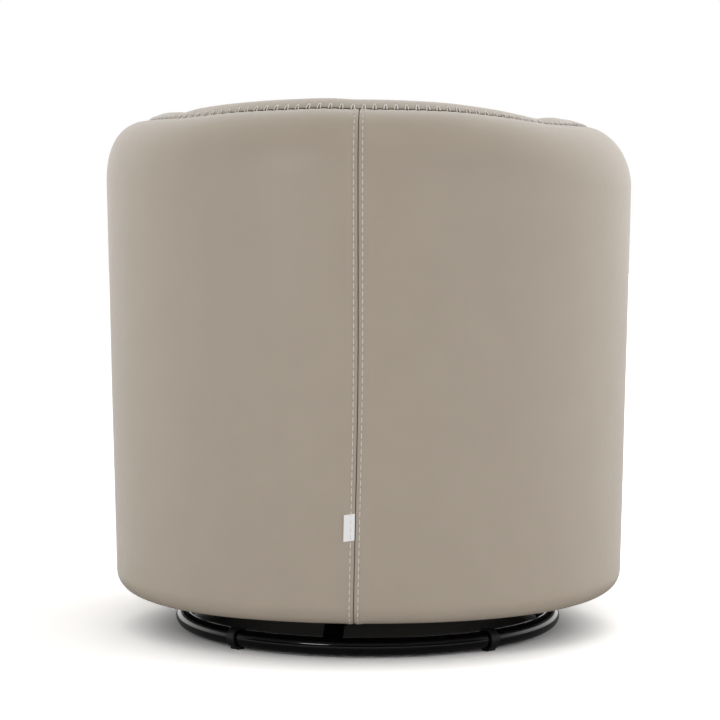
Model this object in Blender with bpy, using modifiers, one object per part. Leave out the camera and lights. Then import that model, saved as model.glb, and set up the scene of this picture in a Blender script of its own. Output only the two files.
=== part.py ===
"""Swivel accent chair: a leather tub that turns on a ball-bearing swivel above a ring base of steel tube.

The origin is on the floor, on the swivel's axis. +Z is up, the seat faces -Y and the sitter's left is +X.
Sizes are in metres and angles in degrees, unless a name says otherwise.
An inset is a distance inwards from the tub's outside face, square to that face.
"""

from math import atan2, cos, pi, radians, sin, sqrt, tan

import bmesh
import bpy
from mathutils import Matrix, Vector

# Clearances
TOUCH = 0.0003                # between hard pieces that touch
SOFT_TOUCH = 0.0006           # between a soft piece and what it lies on
HOLLOW = 0.002                # where leather is stretched clear of the wood behind it

# Outside of the tub
TUB_RADIUS = 0.390            # outside face of the back, and half the width of the chair
ARM_REACH = 0.290             # swivel axis to the front end of the arm's wall
ARM_FRONT_HALF_WIDTH = 0.374  # outside face at the front end of the arm
NOSE_REACH = 0.390            # swivel axis to the front of the seat cushion
TUB_BOTTOM = 0.060            # underside of the leather above the floor
FOOT_RADIUS = 0.030           # rounding of the tub's bottom edge
FOOT_TAPER = 0.012            # how far the wall draws in from shoulder to foot
FLAP = 0.035                  # leather turned in under the tub
RIM_SEAM_HEIGHT = 0.7565      # rim seam at the middle of the back
SIDE_DROP = 0.008             # how much lower the seam runs at the sides
ARM_FALL = 0.085              # how much lower again at the front of the arms
SHOULDER_WIDTH = 0.067        # rounded shoulder, from the outside face in to its top
SHOULDER_HEIGHT = 0.093
SEAM_SETBACK = 0.005          # seam outside the shoulder's top
SEAM_GAP = 0.0016             # the groove of the rim seam
COVER = 0.004                 # leather with its wadding

# Inside of the tub
SEAT_HALF_WIDTH = 0.240       # inner face of the arms
CREST_RISE = 0.0145           # top of the back's inner roll above the seam
ARM_CREST_RISE = 0.0095       # the same for the arms' inner roll
CREST_EASE = (34, 56)         # degrees round between which the roll sinks from the one to the other
CREST_SHARE = 0.35            # where the crest lies between the shoulder's top and the inner face
ROLL_DEPTH = 0.075            # how far down the inner roll runs into the inner face
BACK_LEAN = 0.045             # how much thicker the back is at the cushion than at the top
LEAN_SPREAD = 60              # degrees round from the middle of the back at which that lean runs out
PANEL_ANGLE = 58              # seams between the back pad and the arm pads, from the middle of the back
PANEL_PINCH = 0.003           # how far a pad draws in at such a seam
PANEL_EASE = 2                # degrees beside such a seam within which a pad rises to its full height
SEAM_EDGE = 0.1               # degrees from the middle of an upright seam to the leather on each side
FRAME_DEPTH = 0.085           # outside face to the inner edge of the posts, at the back and the sides
ARM_FRAME_SHARE = 85 / 134    # how much of the wall's width the frame takes at the front of an arm
ARM_FACING = 0.030            # thickness of the padded facing on the front of an arm
FACING_EDGE = 0.011           # its rounded edge

# Seat
SEAT_FRAME_TOP = 0.280
SEAT_FRAME_THICKNESS = 0.020
SEAT_LEDGE = 0.050            # width of the seat frame round its opening
CUSHION_EDGE = 0.135          # height of the cushion's side
CUSHION_CROWN = 0.030         # rise of its middle above that edge
CUSHION_ROUND = 0.012         # rounding of its edges
CUSHION_WAIST = 0.005         # how far its sides draw in between the edges
CUSHION_GAP = 0.002           # to the pads
CUSHION_NOSE_SHAPE = 2.6      # 2 is an ellipse in plan, and more is squarer
CUSHION_SIDE_STEPS = 3        # sections of its outline beside each arm
CUSHION_NOSE_STEPS = 7        # and from there to the middle of its nose
CUSHION_WALL_STEPS = 5        # levels between its edges
CUSHION_CROWN_STEPS = 6       # levels over its top
NOSE_OVERHANG = 0.008         # cushion in front of the border below it
BORDER_SHAPE = 4              # power of the border's curve in plan, and more is squarer
STRAP_WIDTH = 0.060
STRAP_THICKNESS = 0.0017
STRAP_HOLD = 0.025            # strap lying on the seat frame at each end
LONG_STRAPS = (-0.150, -0.055, 0.055, 0.150)
CROSS_STRAPS = (0.120, -0.020, -0.160)

# Wooden frame
BOARD_THICKNESS = 0.018
PLY_THICKNESS = 0.018         # posts and rails
BACKING = 0.002               # fibreboard behind the outer leather
PANEL_THICKNESS = 0.010       # bent plywood behind the front border
RAIL_BELOW_SHOULDER = 0.018   # rail's top below the lower edge of the shoulder
POST_FOOT_CUT = 0.004         # corner cut off a post's foot, clear of the tub's rounded edge
REAR_POST_ANGLE = 48          # from the middle of the back
DUST_COVER = 0.0008
DUST_COVER_HOLE = 0.155

# Base ring and glides
RING_RADIUS = 0.277           # to the middle of the tube
TUBE_RADIUS = 0.0125
GLIDE_LIFT = 0.004            # the tube's underside above the floor
GLIDE_ANGLES = {"back_left": 40, "front_left": 140, "front_right": 220, "back_right": 320}
GLIDE_SLEEVE = 0.010          # length of the thin part round the tube
GLIDE_FLANGE = 0.006          # length of the thick part
GLIDE_WALL = 0.0015
GLIDE_EDGE = 0.0007           # bevel of the flange
GLIDE_FIT = 0.0008            # round the curved tube
GLIDE_SLOT = 0.008            # the slit that lets it clip on, on the side of the axis
GLIDE_PAD_WIDTH = 0.012
GLIDE_PAD_HEIGHT = 0.0035

# Crossed bars, whose first arm is seen to the left of the back seam
BAR_ANGLE = 9
BAR_WIDTH = 0.028
BAR_THICKNESS = 0.004
BAR_HEIGHT = 0.0375           # underside of the lower bar
BAR_BEND = 0.020              # how far inside the ring's tube the bars start down

# Ball-bearing swivel
PLATE_RADIUS = 0.100
PLATE_THICKNESS = 0.0025
RACE_RADIUS = 0.070
BALL_RADIUS = 0.0037
BALL_COUNT = 12
BALL_FIT = 0.0003             # round each ball in its races
RACE_WALL = 0.0022
RACE_LIP_GAP = 0.0018         # between the lips of the two races
CAGE_WIDTH = 0.0052
CAGE_THICKNESS = 0.0010
FIXING_CIRCLE = 0.088         # radius on which rivets and screws sit
SCREW_ANGLE = 45
RIVET_RADIUS = 0.003
SCREW_RADIUS = 0.0024
SCREW_LENGTH = 0.014
HEAD_RADIUS = 0.0055
HEAD_HEIGHT = 0.0022
HEAD_FLAT = 0.0033            # radius of a head's flat top
HEAD_EDGE = 0.0002            # how far that top stands above its rim
DRILL_LENGTH = 0.020          # of the cutters for the fixing holes
KING_BOLT_RADIUS = 0.006
KING_HEAD_RADIUS = 0.0105
KING_HEAD_HEIGHT = 0.0045
KING_SHOULDER = 0.0012        # step on the shank that the nut locks against
KING_NUT_RADIUS = 0.0105
KING_NUT_HEIGHT = 0.006
KING_EDGE = 0.001             # bevels of the bolt and the nut
KING_RECESS = 0.0145          # radius of the hole in the board round the nut

# Tag sewn into the back seam
TAG_WIDTH = 0.015
TAG_HEIGHT = 0.036
TAG_THICKNESS = 0.0008
TAG_FOOT = 0.179

# Fineness of the curved pieces
ARC_STEP = 6                  # degrees between the sections round the back
ARM_STEPS = 6                 # sections along an arm
RING_FACETS = 60
TUBE_FACETS = 12
PLATE_FACETS = 32             # the swivel's plates and cage
ROUND_FACETS = 24             # other turned pieces
SMALL_FACETS = 10             # rivets, screws and their holes

# Sizes that follow from those above
WALL = TUB_RADIUS - SEAT_HALF_WIDTH
SEAM_INSET = SHOULDER_WIDTH - SEAM_SETBACK
COVER_INSIDE = COVER + SOFT_TOUCH
FRAME_FACE = COVER_INSIDE + BACKING + SOFT_TOUCH
RAIL_TOP = RIM_SEAM_HEIGHT - SHOULDER_HEIGHT - RAIL_BELOW_SHOULDER
BOARD_BOTTOM = TUB_BOTTOM + COVER + TOUCH
BOARD_TOP = BOARD_BOTTOM + BOARD_THICKNESS
BOARD_INSET = FOOT_TAPER + FOOT_RADIUS + HOLLOW
ARM_FRONT_FRAME_DEPTH = (ARM_FRONT_HALF_WIDTH - SEAT_HALF_WIDTH) * ARM_FRAME_SHARE
STRAP_BOTTOM = SEAT_FRAME_TOP + TOUCH
CROSS_STRAP_BOTTOM = STRAP_BOTTOM + STRAP_THICKNESS + TOUCH
DECK = max(SEAT_FRAME_TOP + TOUCH + COVER, CROSS_STRAP_BOTTOM + STRAP_THICKNESS) + SOFT_TOUCH
NOSE_HALF_WIDTH = SEAT_HALF_WIDTH - SOFT_TOUCH
BORDER_REACH = NOSE_REACH - NOSE_OVERHANG
NOSE_CORNER = ARM_REACH + ARM_FACING / 2
PANEL_INSET = COVER + HOLLOW
NOSE_BOARD_INSET = FOOT_RADIUS + FLAP / 2
NOSE_FLAP_END = FOOT_RADIUS + FLAP + SOFT_TOUCH
BORDER_ROLL = CUSHION_ROUND
STEP_HALF_WIDTH = SEAT_HALF_WIDTH + TOUCH
RING_HEIGHT = TUBE_RADIUS + GLIDE_LIFT
UPPER_BAR_HEIGHT = BAR_HEIGHT + BAR_THICKNESS + TOUCH
LOWER_PLATE_BOTTOM = UPPER_BAR_HEIGHT + BAR_THICKNESS + TOUCH
LOWER_PLATE_TOP = LOWER_PLATE_BOTTOM + PLATE_THICKNESS
UPPER_PLATE_TOP = BOARD_BOTTOM - TOUCH
UPPER_PLATE_BOTTOM = UPPER_PLATE_TOP - PLATE_THICKNESS
BALL_HEIGHT = (LOWER_PLATE_TOP + UPPER_PLATE_BOTTOM) / 2
RACE_HALF_WIDTH = BALL_RADIUS + BALL_FIT


def start_scene():
    """Empty the file and make one collection for the chair and one for its cutters."""
    for obj in list(bpy.data.objects):
        bpy.data.objects.remove(obj)
    made = []
    for name in ("swivel_accent_chair", "cutters"):
        collection = bpy.data.collections.new(name)
        bpy.context.scene.collection.children.link(collection)
        made.append(collection)
    return made


chair, cutters = start_scene()


def finish(name, colour, roughness, metallic=0.0):
    """A material of one plain colour, given as linear red, green and blue."""
    material = bpy.data.materials.new(name)
    material.use_nodes = True
    shader = material.node_tree.nodes["Principled BSDF"]
    shader.inputs["Base Color"].default_value = (*colour, 1.0)
    shader.inputs["Roughness"].default_value = roughness
    shader.inputs["Metallic"].default_value = metallic
    material.diffuse_color = (*colour, 1.0)
    return material


FINISHES = {
    "leather": ((0.36, 0.30, 0.24), 0.5, 0.0),
    "foam": ((0.75, 0.70, 0.55), 0.9, 0.0),
    "plywood": ((0.55, 0.40, 0.24), 0.7, 0.0),
    "fibreboard": ((0.28, 0.20, 0.13), 0.8, 0.0),
    "webbing": ((0.05, 0.05, 0.05), 0.8, 0.0),
    "black_cloth": ((0.01, 0.01, 0.01), 0.9, 0.0),
    "black_enamel": ((0.01, 0.01, 0.01), 0.2, 0.0),
    "black_plastic": ((0.02, 0.02, 0.02), 0.4, 0.0),
    "zinc_steel": ((0.55, 0.56, 0.58), 0.35, 1.0),
    "white_tape": ((0.80, 0.80, 0.80), 0.8, 0.0),
}


def dress(obj, kind, collection=None):
    """Put an object in its collection with a material of its own, shaded smooth between its sharp edges."""
    (collection or chair).objects.link(obj)
    obj.data.materials.clear()
    obj.data.materials.append(finish(f"{obj.name}_{kind}", *FINISHES[kind]))
    if isinstance(obj.data, bpy.types.Mesh):
        obj.data.shade_smooth()
        obj.data.set_sharp_from_angle(angle=radians(35))
    return obj


def mesh_object(name, bm, kind):
    """Turn a bmesh into an object of the chair."""
    mesh = bpy.data.meshes.new(name)
    bm.to_mesh(mesh)
    bm.free()
    return dress(bpy.data.objects.new(name, mesh), kind)


def smooth(share):
    """Ease from 0 to 1."""
    share = min(max(share, 0.0), 1.0)
    return share * share * (3 - 2 * share)


def quarter(steps, start=0.0):
    """Angles in radians from start to a quarter turn."""
    return [start + (pi / 2 - start) * i / steps for i in range(steps + 1)]


# Sections of the tub's wall, which everything wrapped round the tub is built from

class Section:
    """A vertical cut square through the tub's wall, at one place round it."""

    def __init__(
        self, outer, inward, width, drop=0.0, fall=0.0, lean=0.0, pinch=0.0, frame_depth=FRAME_DEPTH,
        crest_rise=ARM_CREST_RISE,
    ):
        self.outer, self.inward = Vector(outer), Vector(inward)
        self.width, self.lean, self.pinch = width, lean, pinch
        self.frame_depth, self.crest_rise = frame_depth, crest_rise
        self.seam_height = RIM_SEAM_HEIGHT - drop - fall
        self.shoulder = self.seam_height - SHOULDER_HEIGHT
        self.rail_top = RAIL_TOP - fall

    def point(self, inset, height):
        spot = self.outer + self.inward * inset
        return Vector((spot.x, spot.y, height))

    def taper(self, height):
        """Inset of the outside face below the shoulder."""
        foot = TUB_BOTTOM + FOOT_RADIUS
        share = (self.shoulder - height) / (self.shoulder - foot)
        return FOOT_TAPER * min(max(share, 0.0), 1.0)


def back_section(degrees_round, pinch=0.0):
    """A section at an angle round the back, from the middle towards the sitter's left."""
    angle = radians(degrees_round)
    across = Vector((sin(angle), cos(angle)))
    lean = BACK_LEAN * cos(pi / 2 * min(abs(degrees_round) / LEAN_SPREAD, 1.0))
    start, end = CREST_EASE
    sunk = smooth((abs(degrees_round) - start) / (end - start))
    return Section(
        across * TUB_RADIUS, -across, WALL, SIDE_DROP * (1 - cos(angle)), 0.0, lean, pinch,
        crest_rise=CREST_RISE + (ARM_CREST_RISE - CREST_RISE) * sunk,
    )


def arm_half_width(depth):
    """Outside face of the arm at a distance in front of the swivel's axis."""
    return TUB_RADIUS - (TUB_RADIUS - ARM_FRONT_HALF_WIDTH) * (depth / ARM_REACH) ** 2


def arm_frame_depth(depth):
    """Outside face to the inner edge of the frame there, which follows the wall's width at the front."""
    return FRAME_DEPTH + (ARM_FRONT_FRAME_DEPTH - FRAME_DEPTH) * (depth / ARM_REACH) ** 2


def arm_slants(depth):
    """How steeply the outside face of the arm and the inner edge of its frame draw in there."""
    rate = 2 * depth / ARM_REACH ** 2
    outer = (TUB_RADIUS - ARM_FRONT_HALF_WIDTH) * rate
    return outer, outer + (ARM_FRONT_FRAME_DEPTH - FRAME_DEPTH) * rate


def arm_fall(depth):
    """How much lower the rim is there than at the side."""
    return ARM_FALL * smooth(depth / ARM_REACH)


def arm_section(side, depth):
    """A section across an arm; side is 1 for the left arm and -1 for the right."""
    half = arm_half_width(depth)
    return Section(
        (side * half, -depth), (-side, 0), half - SEAT_HALF_WIDTH, SIDE_DROP, arm_fall(depth),
        frame_depth=arm_frame_depth(depth),
    )


def degree_steps(first, last):
    steps = max(1, round(abs(last - first) / ARC_STEP))
    return [first + (last - first) * i / steps for i in range(steps + 1)]


def arm_sections(side, start=0.0):
    """Sections from the side of the tub to the front of an arm."""
    return [arm_section(side, start + (ARM_REACH - start) * i / ARM_STEPS) for i in range(ARM_STEPS + 1)]


def half_wall(side, first_degrees, first_pinch=0.0):
    """Sections of one half of the tub, from an angle round the back to the front of the arm."""
    start, *others = degree_steps(first_degrees, 90)
    sections = [back_section(side * start, first_pinch)]
    sections += [back_section(side * step) for step in others]
    return sections + arm_sections(side)[1:]


# Outlines of a section, as lists of (inset, height)

def shoulder_curve(section, depth=0.0, steps=6):
    """The rounded shoulder, from the rim seam to the outside face, at a depth under the surface."""
    wide, high = SHOULDER_WIDTH - depth, SHOULDER_HEIGHT - depth
    start = SEAM_SETBACK / SHOULDER_WIDTH
    return [
        (SHOULDER_WIDTH - wide * sin(angle), section.shoulder + high * cos(angle))
        for angle in quarter(steps, start)
    ]


def foot_curve(steps=4):
    """The rounded bottom edge, from the wall to the underside."""
    return [
        (FOOT_TAPER + FOOT_RADIUS * (1 - cos(angle)), TUB_BOTTOM + FOOT_RADIUS * (1 - sin(angle)))
        for angle in quarter(steps)
    ]


def cover_outline(section, wall_steps=3):
    """Outside of the tub, from the rim seam down, under the bottom edge and along the flap."""
    shoulder, foot = shoulder_curve(section), foot_curve()
    top, bottom = shoulder[-1], foot[0]
    wall = [
        tuple(Vector(top).lerp(Vector(bottom), i / wall_steps)) for i in range(1, wall_steps)
    ]
    return shoulder + wall + foot + [(foot[-1][0] + FLAP, TUB_BOTTOM)]


def inner_roll(section, steps=4):
    """The leather's roll from the rim seam over the crest to the inner face."""
    start = SEAM_INSET + SEAM_GAP
    width = section.width - section.pinch
    crest = SHOULDER_WIDTH + CREST_SHARE * (width - SHOULDER_WIDTH)
    rise = section.crest_rise - section.pinch
    crest_height = section.seam_height + rise
    outer = [
        (crest - (crest - start) * cos(angle), section.seam_height + rise * sin(angle))
        for angle in quarter(steps - 1)
    ]
    inner = [
        (crest + (width - crest) * sin(angle), crest_height - ROLL_DEPTH * (1 - cos(angle)))
        for angle in quarter(steps)
    ]
    return outer + inner[1:]


def pad_outline(section, face_steps=4):
    """A closed pad: roll, inner face, bottom, and its back against the posts and over the rail."""
    roll = inner_roll(section)
    inset, top = roll[-1]
    cushion_top = DECK + CUSHION_EDGE
    face = []
    for i in range(1, face_steps + 1):
        height = top + (DECK - top) * i / face_steps
        share = smooth((top - height) / (top - cushion_top))
        face.append((inset + section.lean * share, height))
    behind = section.frame_depth + SOFT_TOUCH
    shelf = section.rail_top + SOFT_TOUCH
    return roll + face + [(behind, DECK), (behind, shelf), (SEAM_INSET + SEAM_GAP, shelf)]


def foam_outline(section):
    """The foam roll between the outer cover's shoulder and the rail."""
    shelf = section.rail_top + SOFT_TOUCH
    curve = shoulder_curve(section, COVER_INSIDE)
    outer_foot = (COVER_INSIDE + section.taper(shelf), shelf)
    return curve + [outer_foot, (curve[0][0], shelf)]


def rail_outline(section):
    """A square-edged rail across the wall."""
    top, bottom = section.rail_top, section.rail_top - PLY_THICKNESS
    outer = FRAME_FACE + section.taper(bottom)
    return [(outer, top), (outer, bottom), (section.frame_depth, bottom), (section.frame_depth, top)]


# Builders

def loft(name, rings, kind):
    """A closed solid through rings of points, with a flat cap on each end."""
    bm = bmesh.new()
    loops = []
    for ring in rings:
        verts = [bm.verts.new(point) for point in ring]
        loops.append([bm.edges.new(pair) for pair in zip(verts, verts[1:] + verts[:1])])
        if ring is rings[0] or ring is rings[-1]:
            bm.faces.new(verts)
    for near, far in zip(loops, loops[1:]):
        bmesh.ops.bridge_loops(bm, edges=near + far)
    bmesh.ops.recalc_face_normals(bm, faces=bm.faces)
    return mesh_object(name, bm, kind)


def wall_loft(name, sections, outline, kind):
    """A solid that runs round the wall, with one outline function for all its sections."""
    return loft(name, [[s.point(*spot) for spot in outline(s)] for s in sections], kind)


def sheet(name, rows, thickness, kind):
    """A sheet through rows of points, given its thickness on the inner side."""
    bm = bmesh.new()
    across, along = len(rows[0]) - 1, len(rows) - 1
    bmesh.ops.create_grid(bm, x_segments=across, y_segments=along, size=0.5)
    for vert in bm.verts:
        column, row = round((vert.co.x + 0.5) * across), round((vert.co.y + 0.5) * along)
        vert.co = rows[row][column]
    obj = mesh_object(name, bm, kind)
    solid = obj.modifiers.new("thickness", "SOLIDIFY")
    solid.thickness = thickness
    solid.offset = -1
    solid.use_even_offset = True
    return obj


def flat_outline(name, loops, thickness, kind):
    """A flat board from its outline and the loops of its holes, centred on its own plane."""
    curve = bpy.data.curves.new(name, "CURVE")
    curve.dimensions = "2D"
    curve.fill_mode = "BOTH"
    curve.extrude = thickness / 2
    curve.render_resolution_u = 0
    for loop in loops:
        spline = curve.splines.new("POLY")
        spline.points.add(len(loop) - 1)
        for point, (x, y) in zip(spline.points, loop):
            point.co = (x, y, 0, 1)
        spline.use_cyclic_u = True
    return dress(bpy.data.objects.new(name, curve), kind)


def board(name, loops, bottom, thickness, kind):
    """A level board."""
    obj = flat_outline(name, loops, thickness, kind)
    obj.location.z = bottom + thickness / 2
    return obj


def turned(name, profile, facets, kind, place=(0, 0, 0)):
    """A turned piece from its closed profile of (radius, height), its outer side given top to bottom."""
    mesh = bpy.data.meshes.new(name)
    closed = profile[0][0] > 0
    last = len(profile)
    edges = [(i, (i + 1) % last) for i in range(last if closed else last - 1)]
    mesh.from_pydata([(radius, 0, height) for radius, height in profile], edges, [])
    obj = dress(bpy.data.objects.new(name, mesh), kind)
    obj.location = place
    screw = obj.modifiers.new("turn", "SCREW")
    screw.steps = facets
    screw.render_steps = facets
    screw.use_merge_vertices = True
    screw.merge_threshold = 0.00001
    return obj


def cutter(name, shape, place, turn=(0, 0, 0)):
    """A hidden shape that is cut away: a cylinder (radius, length, facets) or a box (x, y, z)."""
    bm = bmesh.new()
    if isinstance(shape, dict):
        bmesh.ops.create_cone(
            bm, cap_ends=True, segments=shape["facets"],
            radius1=shape["radius"], radius2=shape["radius"], depth=shape["length"],
        )
    else:
        bmesh.ops.create_cube(bm, size=1.0, matrix=Matrix.Diagonal((*shape, 1.0)))
    mesh = bpy.data.meshes.new(name)
    bm.to_mesh(mesh)
    bm.free()
    obj = bpy.data.objects.new(name, mesh)
    cutters.objects.link(obj)
    obj.location = place
    obj.rotation_euler = turn
    obj.hide_render = True
    obj.display_type = "WIRE"
    return obj


def apply_boolean(obj, other, operation="DIFFERENCE"):
    modifier = obj.modifiers.new(operation.lower(), "BOOLEAN")
    modifier.operation = operation
    modifier.object = other


def hole_radius(fastener_radius):
    """Radius of a faceted hole whose flats clear a round fastener."""
    return (fastener_radius + TOUCH) / cos(pi / SMALL_FACETS)


def drill(obj, name, fastener_radius, spots, height, length):
    """Upright holes through a piece."""
    for index, (x, y) in enumerate(spots, 1):
        shape = {"radius": hole_radius(fastener_radius), "length": length, "facets": SMALL_FACETS}
        apply_boolean(obj, cutter(f"{name}_{index}", shape, (x, y, height)))


def circle(radius, facets, centre=(0, 0)):
    """A level circle as a loop of points."""
    return [
        (centre[0] + radius * cos(2 * pi * i / facets), centre[1] + radius * sin(2 * pi * i / facets))
        for i in range(facets)
    ]


def round_spots(radius, first_degrees):
    """Four points on a circle, the first at an angle from +Y towards +X."""
    angles = [radians(first_degrees + 90 * i) for i in range(4)]
    return [(radius * sin(angle), radius * cos(angle)) for angle in angles]


# Plan of the tub

def nose_line(inset=0.0, steps=8):
    """The curved front below the cushion, from left to right, at an inset square to the curve."""
    line = []
    swell, power = BORDER_REACH - NOSE_CORNER, BORDER_SHAPE
    for i in range(2 * steps + 1):
        share = 1 - i / steps
        spot = Vector((NOSE_HALF_WIDTH * share, swell * share ** power - BORDER_REACH))
        slope = power * swell * share ** (power - 1) / NOSE_HALF_WIDTH
        line.append(tuple(spot + Vector((-slope, 1)).normalized() * inset))
    return line


def tub_plan(inset, reach, nose_inset=None):
    """Outline of a board that fills the tub, with a nose in front where it has one.

    inset is a distance, or a function that gives it at a distance in front of the swivel's axis.
    """
    inset_at = inset if callable(inset) else lambda depth: inset
    left = []
    radius = TUB_RADIUS - inset_at(0)
    for step in degree_steps(0, 90):
        angle = radians(step)
        left.append((radius * sin(angle), radius * cos(angle)))
    for i in range(1, ARM_STEPS + 1):
        depth = reach * i / ARM_STEPS
        left.append((arm_half_width(depth) - inset_at(depth), -depth))
    right = [(-x, y) for x, y in reversed(left[1:])]
    if nose_inset is None:
        return left + right
    nose = nose_line(nose_inset)
    step = max(-reach, nose[0][1])
    corner = [(STEP_HALF_WIDTH, step)]
    if step > -reach:
        corner.insert(0, (STEP_HALF_WIDTH, -reach))
    return left + corner + nose + [(-x, y) for x, y in reversed(corner)] + right


# Base

def base_ring():
    """The ring of steel tube."""
    bpy.ops.mesh.primitive_torus_add(
        major_radius=RING_RADIUS, minor_radius=TUBE_RADIUS,
        major_segments=RING_FACETS, minor_segments=TUBE_FACETS, location=(0, 0, RING_HEIGHT),
    )
    ring = bpy.context.object
    ring.name = "base_ring"
    for collection in list(ring.users_collection):
        collection.objects.unlink(ring)
    return dress(ring, "black_enamel")


def glide(name, degrees_round):
    """A plastic clip round the tube: a sleeve, a flat pad, and a thicker flange nearer the back's middle."""
    bore = TUBE_RADIUS + GLIDE_FIT
    sleeve, flange = bore + GLIDE_WALL, TUBE_RADIUS + GLIDE_LIFT
    half = (GLIDE_SLEEVE + GLIDE_FLANGE) / 2
    step = half - GLIDE_FLANGE
    profile = [
        (bore, half), (flange - GLIDE_EDGE, half), (flange, half - GLIDE_EDGE),
        (flange, step), (sleeve, step), (sleeve, -half), (bore, -half),
    ]
    angle = radians(degrees_round)
    place = Vector((RING_RADIUS * sin(angle), RING_RADIUS * cos(angle), RING_HEIGHT))
    clip = turned(name, profile, ROUND_FACETS, "black_plastic", place)
    # The clip's own Z lies along the tube, and points to the middle of the back.
    side = -1 if degrees_round < 180 else 1
    clip.rotation_euler = (side * pi / 2, 0, pi / 2 - angle)
    turn = (0, 0, -angle)
    pad_place = (place.x, place.y, GLIDE_PAD_HEIGHT / 2)
    pad = cutter(f"{name}_pad", (2 * half, GLIDE_PAD_WIDTH, GLIDE_PAD_HEIGHT), pad_place, turn)
    apply_boolean(clip, pad, "UNION")
    towards_axis = Matrix.Rotation(-angle, 4, "Z") @ Vector((0, -flange, 0))
    slot = cutter(f"{name}_slot", (4 * half, 2 * flange, GLIDE_SLOT), place + towards_axis, turn)
    apply_boolean(clip, slot)


def cross_bar(name, degrees_round, height):
    """A flat steel bar across the base, bent down at both ends to meet the ring's tube."""
    inner_face = (RING_RADIUS - TUBE_RADIUS) * cos(pi / RING_FACETS)
    reach = sqrt(inner_face ** 2 - (BAR_WIDTH / 2) ** 2) - TOUCH
    bend = reach - BAR_BEND
    half = BAR_THICKNESS / 2
    middle = height + half
    slope = atan2(middle - RING_HEIGHT, BAR_BEND)
    knee, end = half * tan(slope / 2), half / cos(slope)
    right = [
        (bend - knee, middle - half), (reach, RING_HEIGHT - end),
        (reach, RING_HEIGHT + end), (bend + knee, middle + half),
    ]
    outline = right + [(-x, z) for x, z in reversed(right)]
    bm = bmesh.new()
    face = bm.faces.new([bm.verts.new((x, -BAR_WIDTH / 2, z)) for x, z in outline])
    made = bmesh.ops.extrude_face_region(bm, geom=[face])["geom"]
    far_verts = [v for v in made if isinstance(v, bmesh.types.BMVert)]
    bmesh.ops.translate(bm, verts=far_verts, vec=(0, BAR_WIDTH, 0))
    bmesh.ops.recalc_face_normals(bm, faces=bm.faces)
    bar = mesh_object(name, bm, "black_enamel")
    angle = radians(degrees_round)
    bar.rotation_euler.z = pi / 2 - angle
    spots = [(sin(angle + k) * FIXING_CIRCLE, cos(angle + k) * FIXING_CIRCLE) for k in (0, pi)]
    drill(bar, f"{name}_rivet_hole", RIVET_RADIUS, spots, middle, 4 * BAR_THICKNESS)
    drill(bar, f"{name}_bolt_hole", KING_BOLT_RADIUS, [(0, 0)], middle, 4 * BAR_THICKNESS)
    return bar


def race_profile(plate_far, plate_near, lip):
    """A pressed plate with its ball race, from the outer edge to the centre hole and back.

    plate_far and plate_near are the heights of the plate's two faces, and lip that of the race's lips.
    """
    inner, outer = RACE_RADIUS - RACE_HALF_WIDTH, RACE_RADIUS + RACE_HALF_WIDTH
    hole = KING_BOLT_RADIUS + TOUCH
    edge = [(PLATE_RADIUS, plate_near), (PLATE_RADIUS, plate_far), (hole, plate_far), (hole, plate_near)]
    race = [
        (inner - RACE_WALL, plate_near), (inner - RACE_WALL, lip), (inner, lip), (inner, plate_near),
        (outer, plate_near), (outer, lip), (outer + RACE_WALL, lip), (outer + RACE_WALL, plate_near),
    ]
    return edge + race


def swivel():
    """The two plates, the caged balls between them, and what holds them."""
    lower_lip, upper_lip = BALL_HEIGHT - RACE_LIP_GAP / 2, BALL_HEIGHT + RACE_LIP_GAP / 2
    lower = turned(
        "swivel_lower_plate", race_profile(LOWER_PLATE_BOTTOM, LOWER_PLATE_TOP, lower_lip),
        PLATE_FACETS, "zinc_steel",
    )
    upper = turned(
        "swivel_upper_plate", race_profile(UPPER_PLATE_TOP, UPPER_PLATE_BOTTOM, upper_lip)[::-1],
        PLATE_FACETS, "zinc_steel",
    )
    rivets = round_spots(FIXING_CIRCLE, BAR_ANGLE)
    screws = round_spots(FIXING_CIRCLE, SCREW_ANGLE)
    drill(lower, "lower_plate_hole", RIVET_RADIUS, rivets, LOWER_PLATE_BOTTOM, DRILL_LENGTH)
    drill(upper, "upper_plate_hole", SCREW_RADIUS, screws, UPPER_PLATE_TOP, DRILL_LENGTH)
    for index, (x, y) in enumerate(rivets, 1):
        bar = UPPER_BAR_HEIGHT if index % 2 == 0 else BAR_HEIGHT
        bar_rivet(f"bar_rivet_{index}", x, y, bar)
    for index, (x, y) in enumerate(screws, 1):
        plate_screw(f"plate_screw_{index}", x, y)
    ball_cage()
    king_bolt()


def bar_rivet(name, x, y, bar_bottom):
    """A rivet with a head on the plate and a tail under the bar."""
    top, bottom = LOWER_PLATE_TOP + TOUCH, bar_bottom - TOUCH
    profile = [
        (0, top + HEAD_HEIGHT), (HEAD_FLAT, top + HEAD_HEIGHT - HEAD_EDGE), (HEAD_RADIUS, top),
        (RIVET_RADIUS, top), (RIVET_RADIUS, bottom), (HEAD_RADIUS, bottom),
        (HEAD_FLAT, bottom - HEAD_HEIGHT + HEAD_EDGE), (0, bottom - HEAD_HEIGHT),
    ]
    turned(name, profile, SMALL_FACETS, "zinc_steel", (x, y, 0))


def plate_screw(name, x, y):
    """A pan-head screw up through the plate into the board."""
    under, top = UPPER_PLATE_BOTTOM - TOUCH, UPPER_PLATE_BOTTOM + SCREW_LENGTH
    profile = [
        (0, top), (SCREW_RADIUS, top - 2 * SCREW_RADIUS), (SCREW_RADIUS, under), (HEAD_RADIUS, under),
        (HEAD_FLAT, under - HEAD_HEIGHT + HEAD_EDGE), (0, under - HEAD_HEIGHT),
    ]
    turned(name, profile, SMALL_FACETS, "zinc_steel", (x, y, 0))


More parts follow.
